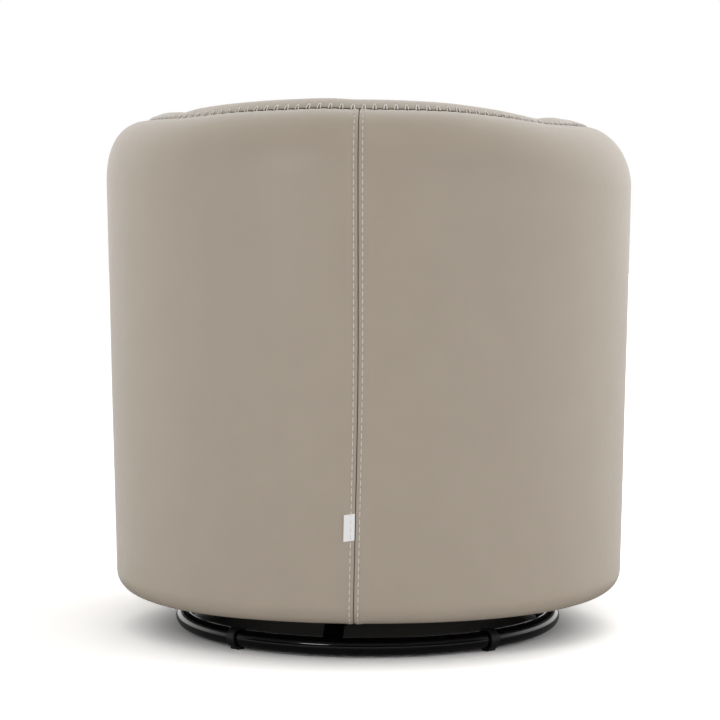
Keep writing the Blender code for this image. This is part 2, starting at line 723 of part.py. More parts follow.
def ball_cage():
    """The ring that spaces the balls, with the balls held in it."""
    inner, outer = RACE_RADIUS - CAGE_WIDTH / 2, RACE_RADIUS + CAGE_WIDTH / 2
    low, high = BALL_HEIGHT - CAGE_THICKNESS / 2, BALL_HEIGHT + CAGE_THICKNESS / 2
    cage = turned(
        "ball_cage", [(outer, high), (outer, low), (inner, low), (inner, high)], PLATE_FACETS, "zinc_steel",
    )
    bm = bmesh.new()
    for i in range(BALL_COUNT):
        angle = 2 * pi * i / BALL_COUNT
        spot = Vector((RACE_RADIUS * cos(angle), RACE_RADIUS * sin(angle), BALL_HEIGHT))
        bmesh.ops.create_uvsphere(
            bm, u_segments=8, v_segments=6, radius=BALL_RADIUS, matrix=Matrix.Translation(spot),
        )
    mesh = bpy.data.meshes.new("balls")
    bm.to_mesh(mesh)
    bm.free()
    balls = bpy.data.objects.new("balls", mesh)
    cutters.objects.link(balls)
    balls.hide_render = True
    balls.display_type = "WIRE"
    apply_boolean(cage, balls, "UNION")


def king_bolt():
    """The bolt through bars and plates, and the lock nut that keeps the swivel together."""
    shank_top = UPPER_PLATE_TOP + TOUCH
    under = BAR_HEIGHT - TOUCH
    head = under - KING_HEAD_HEIGHT
    stub = KING_BOLT_RADIUS - KING_SHOULDER
    nut_top = shank_top + KING_NUT_HEIGHT
    bolt = [
        (0, nut_top + 2 * KING_EDGE), (stub, nut_top + KING_EDGE), (stub, shank_top),
        (KING_BOLT_RADIUS, shank_top - TOUCH), (KING_BOLT_RADIUS, under), (KING_HEAD_RADIUS, under),
        (KING_HEAD_RADIUS, head + KING_EDGE), (KING_HEAD_RADIUS - KING_EDGE, head), (0, head),
    ]
    turned("king_bolt", bolt, ROUND_FACETS, "zinc_steel")
    sides = 6
    hole = (stub + TOUCH) / cos(pi / sides)
    nut = [
        (hole, nut_top), (KING_NUT_RADIUS - KING_EDGE, nut_top), (KING_NUT_RADIUS, nut_top - KING_EDGE),
        (KING_NUT_RADIUS, shank_top), (hole, shank_top),
    ]
    turned("king_nut", nut, sides, "zinc_steel")


# Wooden frame

def bottom_board():
    """The plywood floor of the tub, with its bolt recess and pilot holes."""
    recess = circle(KING_RECESS, ROUND_FACETS)
    screws = round_spots(FIXING_CIRCLE, SCREW_ANGLE)
    pilots = [circle(hole_radius(SCREW_RADIUS), SMALL_FACETS, spot) for spot in screws]
    outline = tub_plan(BOARD_INSET, ARM_REACH - TOUCH, NOSE_BOARD_INSET)
    board("bottom_board", [outline, recess, *pilots], BOARD_BOTTOM, BOARD_THICKNESS, "plywood")


def dust_cover():
    """Black cloth under the tub, inside the turned-in leather and round the swivel."""
    flap_end = FOOT_TAPER + FOOT_RADIUS + FLAP + SOFT_TOUCH
    outline = tub_plan(flap_end, NOSE_CORNER - NOSE_FLAP_END, NOSE_FLAP_END)
    hole = circle(DUST_COVER_HOLE, 2 * ROUND_FACETS)
    board("dust_cover", [outline, hole], BOARD_BOTTOM - TOUCH - DUST_COVER, DUST_COVER, "black_cloth")


def post(name, section, rail_underside, slants=(0.0, 0.0)):
    """An upright of plywood that fills the wall's section between the bottom board and the rail.

    slants are how steeply the wall's outside face and its frame's inner edge draw in or spread there, which
    the post's width allows for.
    """
    bottom, top = BOARD_TOP + TOUCH, rail_underside - TOUCH
    outer_spare, inner_spare = [abs(slant) * PLY_THICKNESS / 2 for slant in slants]
    outer_bottom = FRAME_FACE + section.taper(bottom) + SOFT_TOUCH + outer_spare
    outer_top = FRAME_FACE + section.taper(top) + SOFT_TOUCH + outer_spare
    inner = section.frame_depth - inner_spare
    outline = [
        (outer_bottom + POST_FOOT_CUT, bottom), (inner, bottom), (inner, top), (outer_top, top),
        (outer_bottom, bottom + FOOT_RADIUS),
    ]
    upright = flat_outline(name, [outline], PLY_THICKNESS, "plywood")
    inward = Vector((*section.inward, 0))
    up = Vector((0, 0, 1))
    turn = Matrix((inward, up, inward.cross(up))).transposed().to_4x4()
    upright.matrix_world = Matrix.Translation((*section.outer, 0)) @ turn


def frame_posts():
    """One post in the middle of the back, and three pairs round to the front of the arms."""
    under_rail = RAIL_TOP - PLY_THICKNESS
    post("post_back", back_section(0), under_rail)
    for side, hand in ((1, "left"), (-1, "right")):
        post(f"post_rear_{hand}", back_section(side * REAR_POST_ANGLE), under_rail)
        post(f"post_side_{hand}", back_section(side * 90), under_rail - arm_fall(PLY_THICKNESS))
        depth = ARM_REACH - TOUCH - PLY_THICKNESS / 2
        under_arm_rail = under_rail - ARM_FALL - TOUCH
        post(f"post_front_{hand}", arm_section(side, depth), under_arm_rail, arm_slants(depth))


def frame_rails():
    """The level back rail and the two arm rails that slope to the front."""
    wall_loft("back_rail", [back_section(step) for step in degree_steps(-90, 90)], rail_outline, "plywood")
    for side, hand in ((1, "left"), (-1, "right")):
        wall_loft(f"arm_rail_{hand}", arm_sections(side, TOUCH), rail_outline, "plywood")


def seat_frame_inset(depth):
    """Outside face of the tub to the edge of the seat frame, which fits between the posts."""
    return arm_frame_depth(depth) + SOFT_TOUCH


def seat_frame():
    """The plywood frame that carries the webbing, and the bent panel that holds up its front."""
    bottom = SEAT_FRAME_TOP - SEAT_FRAME_THICKNESS
    outline = tub_plan(seat_frame_inset, ARM_REACH - TOUCH, BORDER_ROLL)
    opening = tub_plan(lambda depth: seat_frame_inset(depth) + SEAT_LEDGE, ARM_REACH - SEAT_LEDGE)
    board("seat_frame", [outline, opening], bottom, SEAT_FRAME_THICKNESS, "plywood")
    front = nose_line(PANEL_INSET)
    back = nose_line(PANEL_INSET + PANEL_THICKNESS)
    height = bottom - TOUCH - (BOARD_TOP + TOUCH)
    board("front_panel", [front + back[::-1]], BOARD_TOP + TOUCH, height, "plywood")


def webbing():
    """Elastic straps across the seat frame's opening: four from back to front, three across above them."""
    past_edge = SEAT_LEDGE - STRAP_HOLD
    radius = TUB_RADIUS - seat_frame_inset(0) - past_edge

    def strap(name, low, high, bottom):
        loop = [(low[0], low[1]), (high[0], low[1]), (high[0], high[1]), (low[0], high[1])]
        board(name, [loop], bottom, STRAP_THICKNESS, "webbing")

    front = -(ARM_REACH - past_edge)
    for index, x in enumerate(LONG_STRAPS, 1):
        back = sqrt(radius ** 2 - x ** 2)
        strap(f"strap_long_{index}", (x - STRAP_WIDTH / 2, front), (x + STRAP_WIDTH / 2, back), STRAP_BOTTOM)
    for index, y in enumerate(CROSS_STRAPS, 1):
        half = sqrt(radius ** 2 - y ** 2) if y > 0 else arm_half_width(-y) - seat_frame_inset(-y) - past_edge
        low, high = (-half, y - STRAP_WIDTH / 2), (half, y + STRAP_WIDTH / 2)
        strap(f"strap_cross_{index}", low, high, CROSS_STRAP_BOTTOM)


# Upholstery

def backings():
    """Fibreboard between the posts and the outer leather, in two halves."""
    low = TUB_BOTTOM + FOOT_RADIUS + SOFT_TOUCH
    for side, hand in ((1, "left"), (-1, "right")):
        rows = []
        for section in half_wall(side, SEAM_EDGE):
            heights = (section.rail_top, (section.rail_top + low) / 2, low)
            row = [section.point(COVER_INSIDE + section.taper(height), height) for height in heights]
            rows.append(row[::-side])
        sheet(f"outer_backing_{hand}", rows, BACKING, "fibreboard")


def outer_covers():
    """The outer leather in two halves, which meet in the seam down the middle of the back."""
    for side, hand in ((1, "left"), (-1, "right")):
        rows = []
        for section in half_wall(side, SEAM_EDGE):
            row = [section.point(*spot) for spot in cover_outline(section)]
            rows.append(row[::-side])
        sheet(f"outer_cover_{hand}", rows, COVER, "leather")


def rim_foam():
    """The foam roll that rounds the top of the wall, from the front of one arm to the other."""
    left, right = half_wall(1, 0), half_wall(-1, 0)
    wall_loft("rim_foam", left[::-1] + right[1:], foam_outline, "foam")


def inner_pads():
    """The back pad between the two arm pads, all three rolled over the rim to the seam."""
    edge = PANEL_ANGLE - SEAM_EDGE
    near = PANEL_ANGLE - PANEL_EASE
    middle = [back_section(step) for step in degree_steps(-near, near)]
    sections = [back_section(-edge, PANEL_PINCH), *middle, back_section(edge, PANEL_PINCH)]
    wall_loft("inner_back_pad", sections, pad_outline, "leather")
    for side, hand in ((1, "left"), (-1, "right")):
        seam = back_section(side * (PANEL_ANGLE + SEAM_EDGE), PANEL_PINCH)
        sections = [seam, *half_wall(side, PANEL_ANGLE + PANEL_EASE)]
        wall_loft(f"inner_arm_pad_{hand}", sections, pad_outline, "leather")


def arm_facings():
    """The padded panels that close the front of the arms, cut to the outline of the wall."""
    section = arm_section(1, ARM_REACH)
    outside = cover_outline(section, 1)[:-2]
    roll = inner_roll(section)
    face = section.width
    outline = outside[::-1] + roll + [(face, TUB_BOTTOM + FACING_EDGE), (face - FACING_EDGE, TUB_BOTTOM)]
    back = -ARM_REACH - TOUCH
    for side, hand in ((1, "left"), (-1, "right")):
        bm = bmesh.new()
        verts = [bm.verts.new((side * (section.outer.x - inset), back, height)) for inset, height in outline]
        face = bm.faces.new(verts)
        made = bmesh.ops.extrude_face_region(bm, geom=[face])["geom"]
        front_verts = [v for v in made if isinstance(v, bmesh.types.BMVert)]
        bmesh.ops.translate(bm, verts=front_verts, vec=(0, -ARM_FACING, 0))
        bmesh.ops.recalc_face_normals(bm, faces=bm.faces)
        rim = [e for e in bm.edges if all(v in front_verts for v in e.verts)]
        bmesh.ops.bevel(
            bm, geom=rim, offset=FACING_EDGE, segments=3, profile=0.5, affect="EDGES", material=-1,
            clamp_overlap=True,
        )
        mesh_object(f"arm_facing_{hand}", bm, "leather")


def front_border():
    """The leather between the arm facings, from under the cushion's nose down and under."""
    roll = BORDER_ROLL
    top = SEAT_FRAME_TOP + TOUCH + COVER
    profile = [(FLAP, top)]
    profile += [(roll * (1 - sin(a)), top - roll * (1 - cos(a))) for a in quarter(3)]
    profile += [
        (FOOT_RADIUS * (1 - cos(a)), TUB_BOTTOM + FOOT_RADIUS * (1 - sin(a))) for a in quarter(4)
    ]
    profile.append((FOOT_RADIUS + FLAP, TUB_BOTTOM))
    rows = [
        [Vector((x, y + inset, height)) for inset, height in reversed(profile)]
        for x, y in nose_line()
    ]
    sheet("front_border", rows, COVER, "leather")


def cushion_plan():
    """Outline of the seat cushion: the lean of the back pad, the arms and the round-cornered nose."""
    left = []
    for step in degree_steps(0, 90):
        section = back_section(step)
        radius = TUB_RADIUS - section.width - section.lean - CUSHION_GAP
        angle = radians(step)
        left.append((radius * sin(angle), radius * cos(angle)))
    half, swell = SEAT_HALF_WIDTH - CUSHION_GAP, NOSE_REACH - ARM_REACH
    left += [(half, -ARM_REACH * i / CUSHION_SIDE_STEPS) for i in range(1, CUSHION_SIDE_STEPS)]
    power = 2 / CUSHION_NOSE_SHAPE
    left += [
        (half * cos(angle) ** power, -ARM_REACH - swell * sin(angle) ** power)
        for angle in quarter(CUSHION_NOSE_STEPS)[:-1]
    ]
    return left + [(0, -NOSE_REACH)] + [(-x, y) for x, y in reversed(left[1:])]


def seat_cushion():
    """The crowned seat cushion, with rounded edges and sides that draw in between them."""
    plan = [Vector(point) for point in cushion_plan()]
    middle = Vector((0, (SEAT_HALF_WIDTH - BACK_LEAN - NOSE_REACH) / 2))
    bottom, edge, roll = DECK, DECK + CUSHION_EDGE, CUSHION_ROUND
    foot = [(roll * (1 - sin(a)), bottom + roll * (1 - cos(a))) for a in quarter(2)]
    side = [
        (CUSHION_WAIST * sin(pi * share), bottom + roll + (CUSHION_EDGE - 2 * roll) * share)
        for share in (i / CUSHION_WALL_STEPS for i in range(1, CUSHION_WALL_STEPS))
    ]
    brim = [(inset, bottom + edge - height) for inset, height in reversed(foot)]
    crown = [
        (roll + (SEAT_HALF_WIDTH - roll) * (1 - cos(a)), edge + CUSHION_CROWN * sin(a))
        for a in quarter(CUSHION_CROWN_STEPS)[1:-1]
    ]
    levels = foot + side + brim + crown
    rings = [
        [
            (*middle.lerp(point, 1 - inset / SEAT_HALF_WIDTH), height)
            for point in plan
        ]
        for inset, height in levels
    ]
    loft("seat_cushion", rings, "leather")


def seam_tag():
    """The white woven tag that hangs from the back seam, on the sitter's left of it."""
    section = back_section(0)
    middle = TAG_FOOT + TAG_HEIGHT / 2
    slope = (section.taper(TAG_FOOT) - section.taper(TAG_FOOT + TAG_HEIGHT)) / TAG_HEIGHT
    loop = [(0, 0), (TAG_WIDTH, 0), (TAG_WIDTH, TAG_HEIGHT), (0, TAG_HEIGHT)]
    centred = [(x + SOFT_TOUCH, z - TAG_HEIGHT / 2) for x, z in loop]
    tag = flat_outline("seam_tag", [centred], TAG_THICKNESS, "white_tape")
    out = TUB_RADIUS - section.taper(middle) + TOUCH + TAG_THICKNESS / 2
    tag.location = (0, out, middle)
    tag.rotation_euler = (pi / 2 - slope, 0, 0)


base_ring()
for corner, corner_angle in GLIDE_ANGLES.items():
    glide(f"glide_{corner}", corner_angle)
cross_bar("cross_bar_lower", BAR_ANGLE, BAR_HEIGHT)
cross_bar("cross_bar_upper", BAR_ANGLE + 90, UPPER_BAR_HEIGHT)
swivel()
bottom_board()
dust_cover()
frame_posts()
frame_rails()
seat_frame()
webbing()
backings()
outer_covers()
rim_foam()
inner_pads()
arm_facings()
front_border()
seat_cushion()
seam_tag()
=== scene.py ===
"""The looks of a swivel tub chair seen from behind: its leather, seams, stitches, seat, base and studio.

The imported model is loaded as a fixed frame, and these pieces dress it. Sizes are in metres. The origin is
on the floor on the swivel's axis, +Z is up, the seat faces -Y and the sitter's left is +X. An inset is a
distance inwards from the tub's outside face, and "along" is a distance round that face from the middle of
the back.
"""

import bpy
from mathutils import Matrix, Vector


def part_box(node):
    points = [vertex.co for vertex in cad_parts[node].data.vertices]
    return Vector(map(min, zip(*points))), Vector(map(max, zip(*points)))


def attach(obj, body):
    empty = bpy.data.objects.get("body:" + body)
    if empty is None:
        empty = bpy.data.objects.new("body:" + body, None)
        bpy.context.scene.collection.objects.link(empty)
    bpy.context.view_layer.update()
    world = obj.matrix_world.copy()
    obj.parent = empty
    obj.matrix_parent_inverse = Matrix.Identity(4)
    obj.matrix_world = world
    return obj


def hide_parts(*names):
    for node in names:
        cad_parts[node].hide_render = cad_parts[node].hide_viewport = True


bl_info = {
    "name": "Swivel tub chair",
    "version": (1, 0, 0),
    "blender": (4, 5, 0),
    "location": "3D View > Sidebar > Tub chair",
    "description": "Leather, whip stitches, seat, ring base and studio of a swivel tub chair",
    "category": "Add Mesh",
}

from math import atan2, ceil, cos, degrees, exp, pi, radians, sin, sqrt

import bmesh
import bpy
from bpy.props import FloatProperty, FloatVectorProperty, PointerProperty
from mathutils import Matrix, Vector, noise

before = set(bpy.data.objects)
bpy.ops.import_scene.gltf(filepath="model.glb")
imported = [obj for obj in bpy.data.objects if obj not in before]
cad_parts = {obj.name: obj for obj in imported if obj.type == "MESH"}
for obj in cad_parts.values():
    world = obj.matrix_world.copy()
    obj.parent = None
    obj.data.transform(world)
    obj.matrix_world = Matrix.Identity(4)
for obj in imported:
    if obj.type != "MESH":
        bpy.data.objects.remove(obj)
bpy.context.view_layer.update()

# The tub, as the CAD model has it
TUB_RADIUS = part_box("outer_cover_left")[1].x
ARM_REACH = -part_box("outer_cover_left")[0].y
TUB_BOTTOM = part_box("outer_cover_left")[0].z
RIM_SEAM_HEIGHT = 0.7565
ARM_FRONT_HALF_WIDTH = 0.374
SEAT_HALF_WIDTH = 0.240
FOOT_RADIUS = 0.030           # of the rounded bottom edge
FOOT_TAPER = 0.012            # how far the wall leans in down to it
FLAP = 0.035                  # of leather stapled under the bottom board
ARM_FALL = 0.085              # of the rim, from the back to the arms' fronts
SHOULDER_WIDTH = 0.067
SHOULDER_HEIGHT = 0.093
SEAM_INSET = 0.062
PAD_EDGE_INSET = 0.0636       # the inner leather's edge at the rim seam
CREST_SHARE = 0.35            # where the roll's crest lies between the shoulder and the inner face
ROLL_DEPTH = 0.075            # down the inner face, from the crest to where the roll ends
BACK_LEAN = 0.045             # of the inner face, at the middle of the back
LEAN_SPREAD = 60              # degrees round from there, over which it fades
PANEL_ANGLE = {1: 60, -1: 56}  # seams between the back pad and the arm pads, on the left and the right
PANEL_PINCH = 0.003           # how far the pads are drawn in there
PANEL_EASE = 0.026            # round the tub, beside such a seam, within which a pad rises in full
COVER = 0.0042                # leather with its wadding
PAD_BACK_INSET = 0.0856       # where a pad lies on the posts
RAIL_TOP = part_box("back_rail")[1].z
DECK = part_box("seat_cushion")[0].z
DUST_COVER_HOLE = 0.155       # radius of its opening round the swivel
CLOTH_THICKNESS = 0.0005
TAPE_THICKNESS = 0.0006
CUSHION_EDGE = 0.135          # height of the cushion's side
CUSHION_CROWN = 0.030         # and how far its middle stands above that
SIDE_GAP = 0.002              # between the cushion and the arms
NOSE_REACH = -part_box("seat_cushion")[0].y
ARM_FACING = 0.030            # depth of the padded arm fronts
ARM_CROWN = 0.004             # of it left for their crown
FACING_GAP = 0.0003           # between them and the leather's front edge
WALL = TUB_RADIUS - SEAT_HALF_WIDTH
QUARTER = TUB_RADIUS * pi / 2  # round the outside face, from the middle of the back to the side
RIM_QUARTER = (TUB_RADIUS - SEAM_INSET) * pi / 2
SEAM_LIP = 0.0004             # the outer leather's top edge below the rim seam
SEAM_TURN = 0.16              # radians from the seam, at which the shoulder's and the roll's curves start
GROOVE_DEPTH = 0.006          # of the leather turned in at the rim seam
BACK_GROOVE_DEPTH = 0.005     # the same at the seam down the back
RAIL_GAP = 0.0006             # between the rails and the padding on them
PAD_TUCK = 0.004              # an inner pad's edge below the rim seam
DRIFT_TOP = 0.46              # height at which the back seam starts to stray
DRIFT_SPAN = 0.52             # height over which it would stray in full
DRIFT_KEPT = 0.02             # round the tub, beside the back seam, within which the leather strays with it
DRIFT_FADE = 0.18             # and beyond that, over which it strays less and less
EDGE_STEPS = 4                # points round a turned edge
ROLL_FOOT_STEPS = 5           # points up the inner roll's foot, where it is tucked into the seam
ROLL_STEPS = 12               # points from there to its crest
FINE_BAND = 0.0155            # beside the back seam, within which the outer leather is laid out finely
WHIP_PULL = {1: 0.2, -1: 0.45}  # share by which the whip stitches are pulled lower towards the arms
WHIP_COLUMNS = 10             # columns of an inner pad to a whip stitch

# How the padding has settled on the sitter's left (1) and right (-1), in knots of (degrees round from the
# middle of the back, value), with a smooth curve through them. Drops and rises are in millimetres.
SEAM_DROP = {
    1: ((0, 2.0), (8, 0.2), (18, 1.2), (30, 2.4), (47, 6.1), (66, 3.8), (85, 1.0)),
    -1: ((0, 2.0), (15, 2.7), (24, 4.2), (36, 9.0), (50, 14.6), (64, 13.8), (85, 11.0)),
}
ROLL_RISE = {
    1: (
        (0, 15.5), (18, 16.4), (30, 16.1), (42, 16.8), (50, 15.4), (58, 10.3), (63, 11.2), (71, 12.2),
        (85, 13.0),
    ),
    -1: ((0, 15.5), (24, 13.8), (40, 12.8), (47, 11.6), (54.5, 9.6), (64, 12.2), (72, 11.2), (85, 11.4)),
}
FULLNESS = {1: ((0, 0.17), (80, 0.17)), -1: ((0, 0.17), (25, 0.12), (80, -0.03))}
SIDE_SWELL = {1: -0.0005, -1: 0.0023}


# Sizes and colours that a user would change

def linear(hex_colour):
    """An sRGB colour written #RRGGBB, as linear red, green and blue."""
    channels = [int(hex_colour[i:i + 2], 16) / 255 for i in (1, 3, 5)]
    return tuple(c / 12.92 if c <= 0.04045 else ((c + 0.055) / 1.055) ** 2.4 for c in channels)


def length(name, description, default):
    return FloatProperty(name=name, description=description, default=default, unit="LENGTH", precision=4)


def angle(name, description, in_degrees):
    return FloatProperty(name=name, description=description, default=radians(in_degrees), subtype="ANGLE")


def level(name, description, default):
    return FloatProperty(name=name, description=description, default=default, min=0)


def colour(name, description, hex_colour):
    return FloatVectorProperty(
        name=name, description=description, default=linear(hex_colour), subtype="COLOR", min=0, max=1,
    )


class TubSettings(bpy.types.PropertyGroup):
    """How the leather lies on the tub, beyond the CAD model's even shape."""

    leather: length("Leather", "Thickness of the leather", 0.0012)
    edge: length("Seam edge", "Radius of the leather's turned edge at a seam", 0.0012)
    seam_opening: length("Seam opening", "Half the gap between the two leathers of the back seam", 0.0003)
    seam_drift: length("Seam drift", "How far the back seam strays to the sitter's left at its foot", 0.0085)
    allowance: length("Seam allowance", "Width of the raised band beside the back seam", 0.009)
    allowance_rise: length("Allowance rise", "How far that band stands up", 0.0007)
    settling: FloatProperty(
        name="Settling", description="How far the padding has settled out of its even shape", default=1.0,
        min=0, max=1.5, subtype="FACTOR",
    )
    foot_lift: length("Foot lift", "How much higher the bottom edge lies at the back's middle", 0.0020)
    pucker: length("Pucker", "Depth of the puckers that the whip stitches draw under the rim", 0.0003)
    waver: length("Waver", "Height of the leather's slow waves", 0.0004)


class StitchSettings(bpy.types.PropertyGroup):
    """The whip stitches over the rim seam and the two rows beside the back seam."""

    whip_pitch_left: length("Pitch on the left", "Between whip stitches on the sitter's left", 0.0155)
    whip_pitch_right: length("Pitch on the right", "The same on the sitter's right", 0.0147)
    whip_first_left: length("First on the left", "From the back seam to the first whip stitch", 0.0096)
    whip_first_right: length("First on the right", "The same on the sitter's right", 0.0052)
    whip_half_width: length("Whip half width", "Half the width of a whip stitch at its feet", 0.0022)
    whip_height: length("Whip height", "From the seam to the top of a whip stitch", 0.0064)
    whip_thread: length("Whip thread", "Thickness of the whip stitches' cord", 0.0017)
    top_pitch: length("Topstitch pitch", "From one topstitch to the next", 0.0105)
    top_length: length("Topstitch length", "Thread that shows of one topstitch", 0.0088)
    top_offset: length("Topstitch offset", "From the back seam to a row of topstitches", 0.006)
    top_width: length("Topstitch width", "Width of the topstitches' thread", 0.0013)


class ColourSettings(bpy.types.PropertyGroup):
    """The finishes' own colours, without light or shade, but for the seam colour, which holds painted shade
    too.
    """

    leather: colour("Leather", "Stone-grey leather", "#A89C8D")
    leather_shade: colour("Leather shade", "The deeper tone in its mottling", "#A29687")
    # Partly the leather's dark waxed edge, partly painted shade deep in the seams and under the whip stitches
    seam_wax_and_shade: colour("Tuck", "Waxed edge of the leather, deep in a seam", "#33271F")
    cord: colour("Whip cord", "Waxed cord of the whip stitches", "#E6E1DA")
    thread: colour("Thread", "Thread of the topstitches", "#DDD8D0")
    tape: colour("Tape", "Woven tape of the tag", "#EDEDED")
    enamel: colour("Enamel", "Enamel of the ring and the bars", "#070708")
    floor: colour("Floor", "Studio floor", "#F8F8F8")


class StudioSettings(bpy.types.PropertyGroup):
    """The camera and the light."""

    lens: FloatProperty(name="Lens", description="Focal length in millimetres", default=105.0)
    distance: length("Distance", "From the swivel's axis to the camera", 3.1625)
    height: length("Height", "Of the camera above the floor", 0.5724)
    round_back: angle("Round the back", "The camera's direction, to the sitter's left of the back", -1.882)
    turn: angle("Turn", "How far the camera turns away from the axis", -0.211)
    pitch: angle("Pitch", "How far the camera looks down", 3.132)
    strip_turn: angle("Strip turn", "Direction of the strip lamp, from the back's middle", 29)
    strip_up: angle("Strip up", "Its elevation", 22)
    strip_width: length("Strip width", "Width of the strip lamp", 0.8)
    strip_height: length("Strip height", "Height of the strip lamp", 0.10)
    strip_power: level("Strip power", "Its power in watts", 6.0)
    daylight: level("Daylight", "Soft light from all round", 0.3)
    overhead: level("Overhead", "Soft light from above", 0.45)
    from_right: level("From the right", "Light from the viewer's right", 2.7)
    from_left: level("From the left", "Light from the viewer's left", 1.85)
    from_front: level("From the front", "Light from before the seat", 1.0)
    floor_left: level("Floor left", "Seen brightness of the floor on the left", 1.75)
    floor_middle: level("Floor middle", "The same in the middle", 2.2)
    floor_right: level("Floor right", "The same on the right", 2.1)
    # A painted shadow: the share of the floor's seen brightness left under the chair
    floor_shadow_under: level("Floor under", "Share of it under the chair", 0.11)
    floor_near: level("Floor near", "Mirrored brightness of it round the feet", 0.3)
    floor_far: level("Floor far", "Mirrored brightness of it further off", 1.25)


GROUPS = {
    "tub_chair_tub": TubSettings,
    "tub_chair_stitches": StitchSettings,
    "tub_chair_colours": ColourSettings,
    "tub_chair_studio": StudioSettings,
}


# Small helpers

def smooth(share):
    """Ease from 0 to 1."""
    share = min(max(share, 0.0), 1.0)
    return share * share * (3 - 2 * share)


def steps(first, last, count):
    """Even values from first to last, count gaps apart."""
    return [first + (last - first) * i / count for i in range(count + 1)]


def through(knots, at):
    """A smooth curve through (place, value) knots, level beyond both ends."""
    at = min(max(at, knots[0][0]), knots[-1][0])
    last = len(knots) - 1
    first = max(i for i in range(last) if knots[i][0] <= at)

    def slope(i):
        if i in (0, last):
            return 0.0
        return (knots[i + 1][1] - knots[i - 1][1]) / (knots[i + 1][0] - knots[i - 1][0])

    (start, low), (end, high) = knots[first], knots[first + 1]
    share = (at - start) / (end - start)
    curl = share * (1 - share) * ((1 - share) * slope(first) - share * slope(first + 1))
    return low + (high - low) * smooth(share) + (end - start) * curl


def bump(distance, width):
    """A soft bump of height 1 around a distance of 0."""
    return exp(-(distance / width) ** 2)


# Cuts through the tub's wall, which every leather piece is laid out on

def arm_half_width(depth):
    """Outside face of an arm, at a distance in front of the swivel's axis."""
    return TUB_RADIUS - (TUB_RADIUS - ARM_FRONT_HALF_WIDTH) * (depth / ARM_REACH) ** 2


class Cut:
    """An upright cut square through the tub's wall; side is 1 for the sitter's left and -1 for the right."""

    def __init__(self, side, along, pinch=0.0):
        self.side, self.along, self.pinch = side, along, pinch
        turn = min(along / TUB_RADIUS, pi / 2)
        depth = max(along - QUARTER, 0.0)
        if depth:
            half = arm_half_width(depth)
            self.outer, self.inward = Vector((side * half, -depth, 0)), Vector((-side, 0, 0))
            self.width = half - SEAT_HALF_WIDTH
        else:
            across = Vector((side * sin(turn), cos(turn), 0))
            self.outer, self.inward = across * TUB_RADIUS, -across
            self.width = WALL
        round_back = degrees(turn)
        self.lean = BACK_LEAN * cos(pi / 2 * min(round_back / LEAN_SPREAD, 1.0)) if not depth else 0.0
        tub = bpy.context.scene.tub_chair_tub
        fall = ARM_FALL * smooth(depth / ARM_REACH)
        drop = through(SEAM_DROP[side], round_back) / 1000 * tub.settling
        self.seam_height = RIM_SEAM_HEIGHT - drop - fall
        self.shoulder = RIM_SEAM_HEIGHT - SHOULDER_HEIGHT - drop / 2 - fall
        self.roll_rise = through(ROLL_RISE[side], round_back) / 1000 - pinch
        # Towards the arms the roll's foot is softer, and the painted shade where it is tucked into the seam is
        # fainter.
        self.softness = 0.6 + 0.3 * smooth((round_back - 30) / 35)
        self.shade = 1 - 0.6 * smooth((round_back - 22) / 28)
        self.fullness = through(FULLNESS[side], round_back)
        self.swell = SIDE_SWELL[side] * smooth(round_back / 60) * tub.settling
        self.bottom = TUB_BOTTOM + tub.foot_lift * (1 - smooth(round_back / 50))
        self.rail_top = RAIL_TOP - fall

    def point(self, inset, height):
        return self.outer + self.inward * inset + Vector((0, 0, height))


def along_of(rim_distance):
    """A distance round the outside face, from one along the rim seam."""
    if rim_distance < RIM_QUARTER:
        return rim_distance * TUB_RADIUS / (TUB_RADIUS - SEAM_INSET)
    return QUARTER + rim_distance - RIM_QUARTER


def rim_distance_of(along):
    """The distance along the rim seam, from one round the outside face."""
    if along < QUARTER:
        return along * (TUB_RADIUS - SEAM_INSET) / TUB_RADIUS
    return RIM_QUARTER + along - QUARTER


def whips(side):
    """Where the first whip stitch on a side lies along the rim seam, and from one stitch to the next."""
    stitches = bpy.context.scene.tub_chair_stitches
    if side > 0:
        return stitches.whip_first_left, stitches.whip_pitch_left
    return stitches.whip_first_right, stitches.whip_pitch_right


def to_nearest_whip(side, along):
    """How far the nearest whip stitch is along the rim seam."""
    first, pitch = whips(side)
    past = (rim_distance_of(along) - first) % pitch
    return min(past, pitch - past)


def between_whips(side, start, end, count):
    """Places round the outside face from start to end, count to a whip stitch, with one at each stitch."""
    first, pitch = whips(side)
    step = pitch / count
    low, high = rim_distance_of(start), rim_distance_of(end)
    number = ceil((low - first) / step + 0.4)
    places = [start]
    while first + number * step < high - 0.4 * step:
        places.append(along_of(first + number * step))
        number += 1
    return places + [end]


def seam_shift(height):
    """How far the back seam strays to the sitter's left at a height."""
    return bpy.context.scene.tub_chair_tub.seam_drift * smooth((DRIFT_TOP - height) / DRIFT_SPAN)


def stray(point, along, side):
    """Turn a point on the back with the seam's drift, which fades away from the seam."""
    shift = seam_shift(point.z) * (1 - smooth((along - DRIFT_KEPT) / DRIFT_FADE))
    return Matrix.Rotation(-shift / TUB_RADIUS, 3, "Z") @ point


# Outlines of a cut, from the rim seam, as lists of (inset, height)

def shoulder_points(cut, first, count, depth=0.0):
    """The rounded shoulder from near the rim seam down to the wall, at a depth under the leather."""
    power = 1 - cut.fullness
    wide, tall = SHOULDER_WIDTH - depth, cut.seam_height - cut.shoulder - depth
    return [
        (SHOULDER_WIDTH - wide * sin(angle) ** power, cut.shoulder + tall * cos(angle) ** power)
        for angle in steps(first, pi / 2, count)
    ]


def foot_points(bottom, count):
    """The rounded bottom edge from the wall to the underside."""
    return [
        (FOOT_TAPER + FOOT_RADIUS * (1 - cos(angle)), bottom + FOOT_RADIUS * (1 - sin(angle)))
        for angle in steps(0, pi / 2, count)
    ]


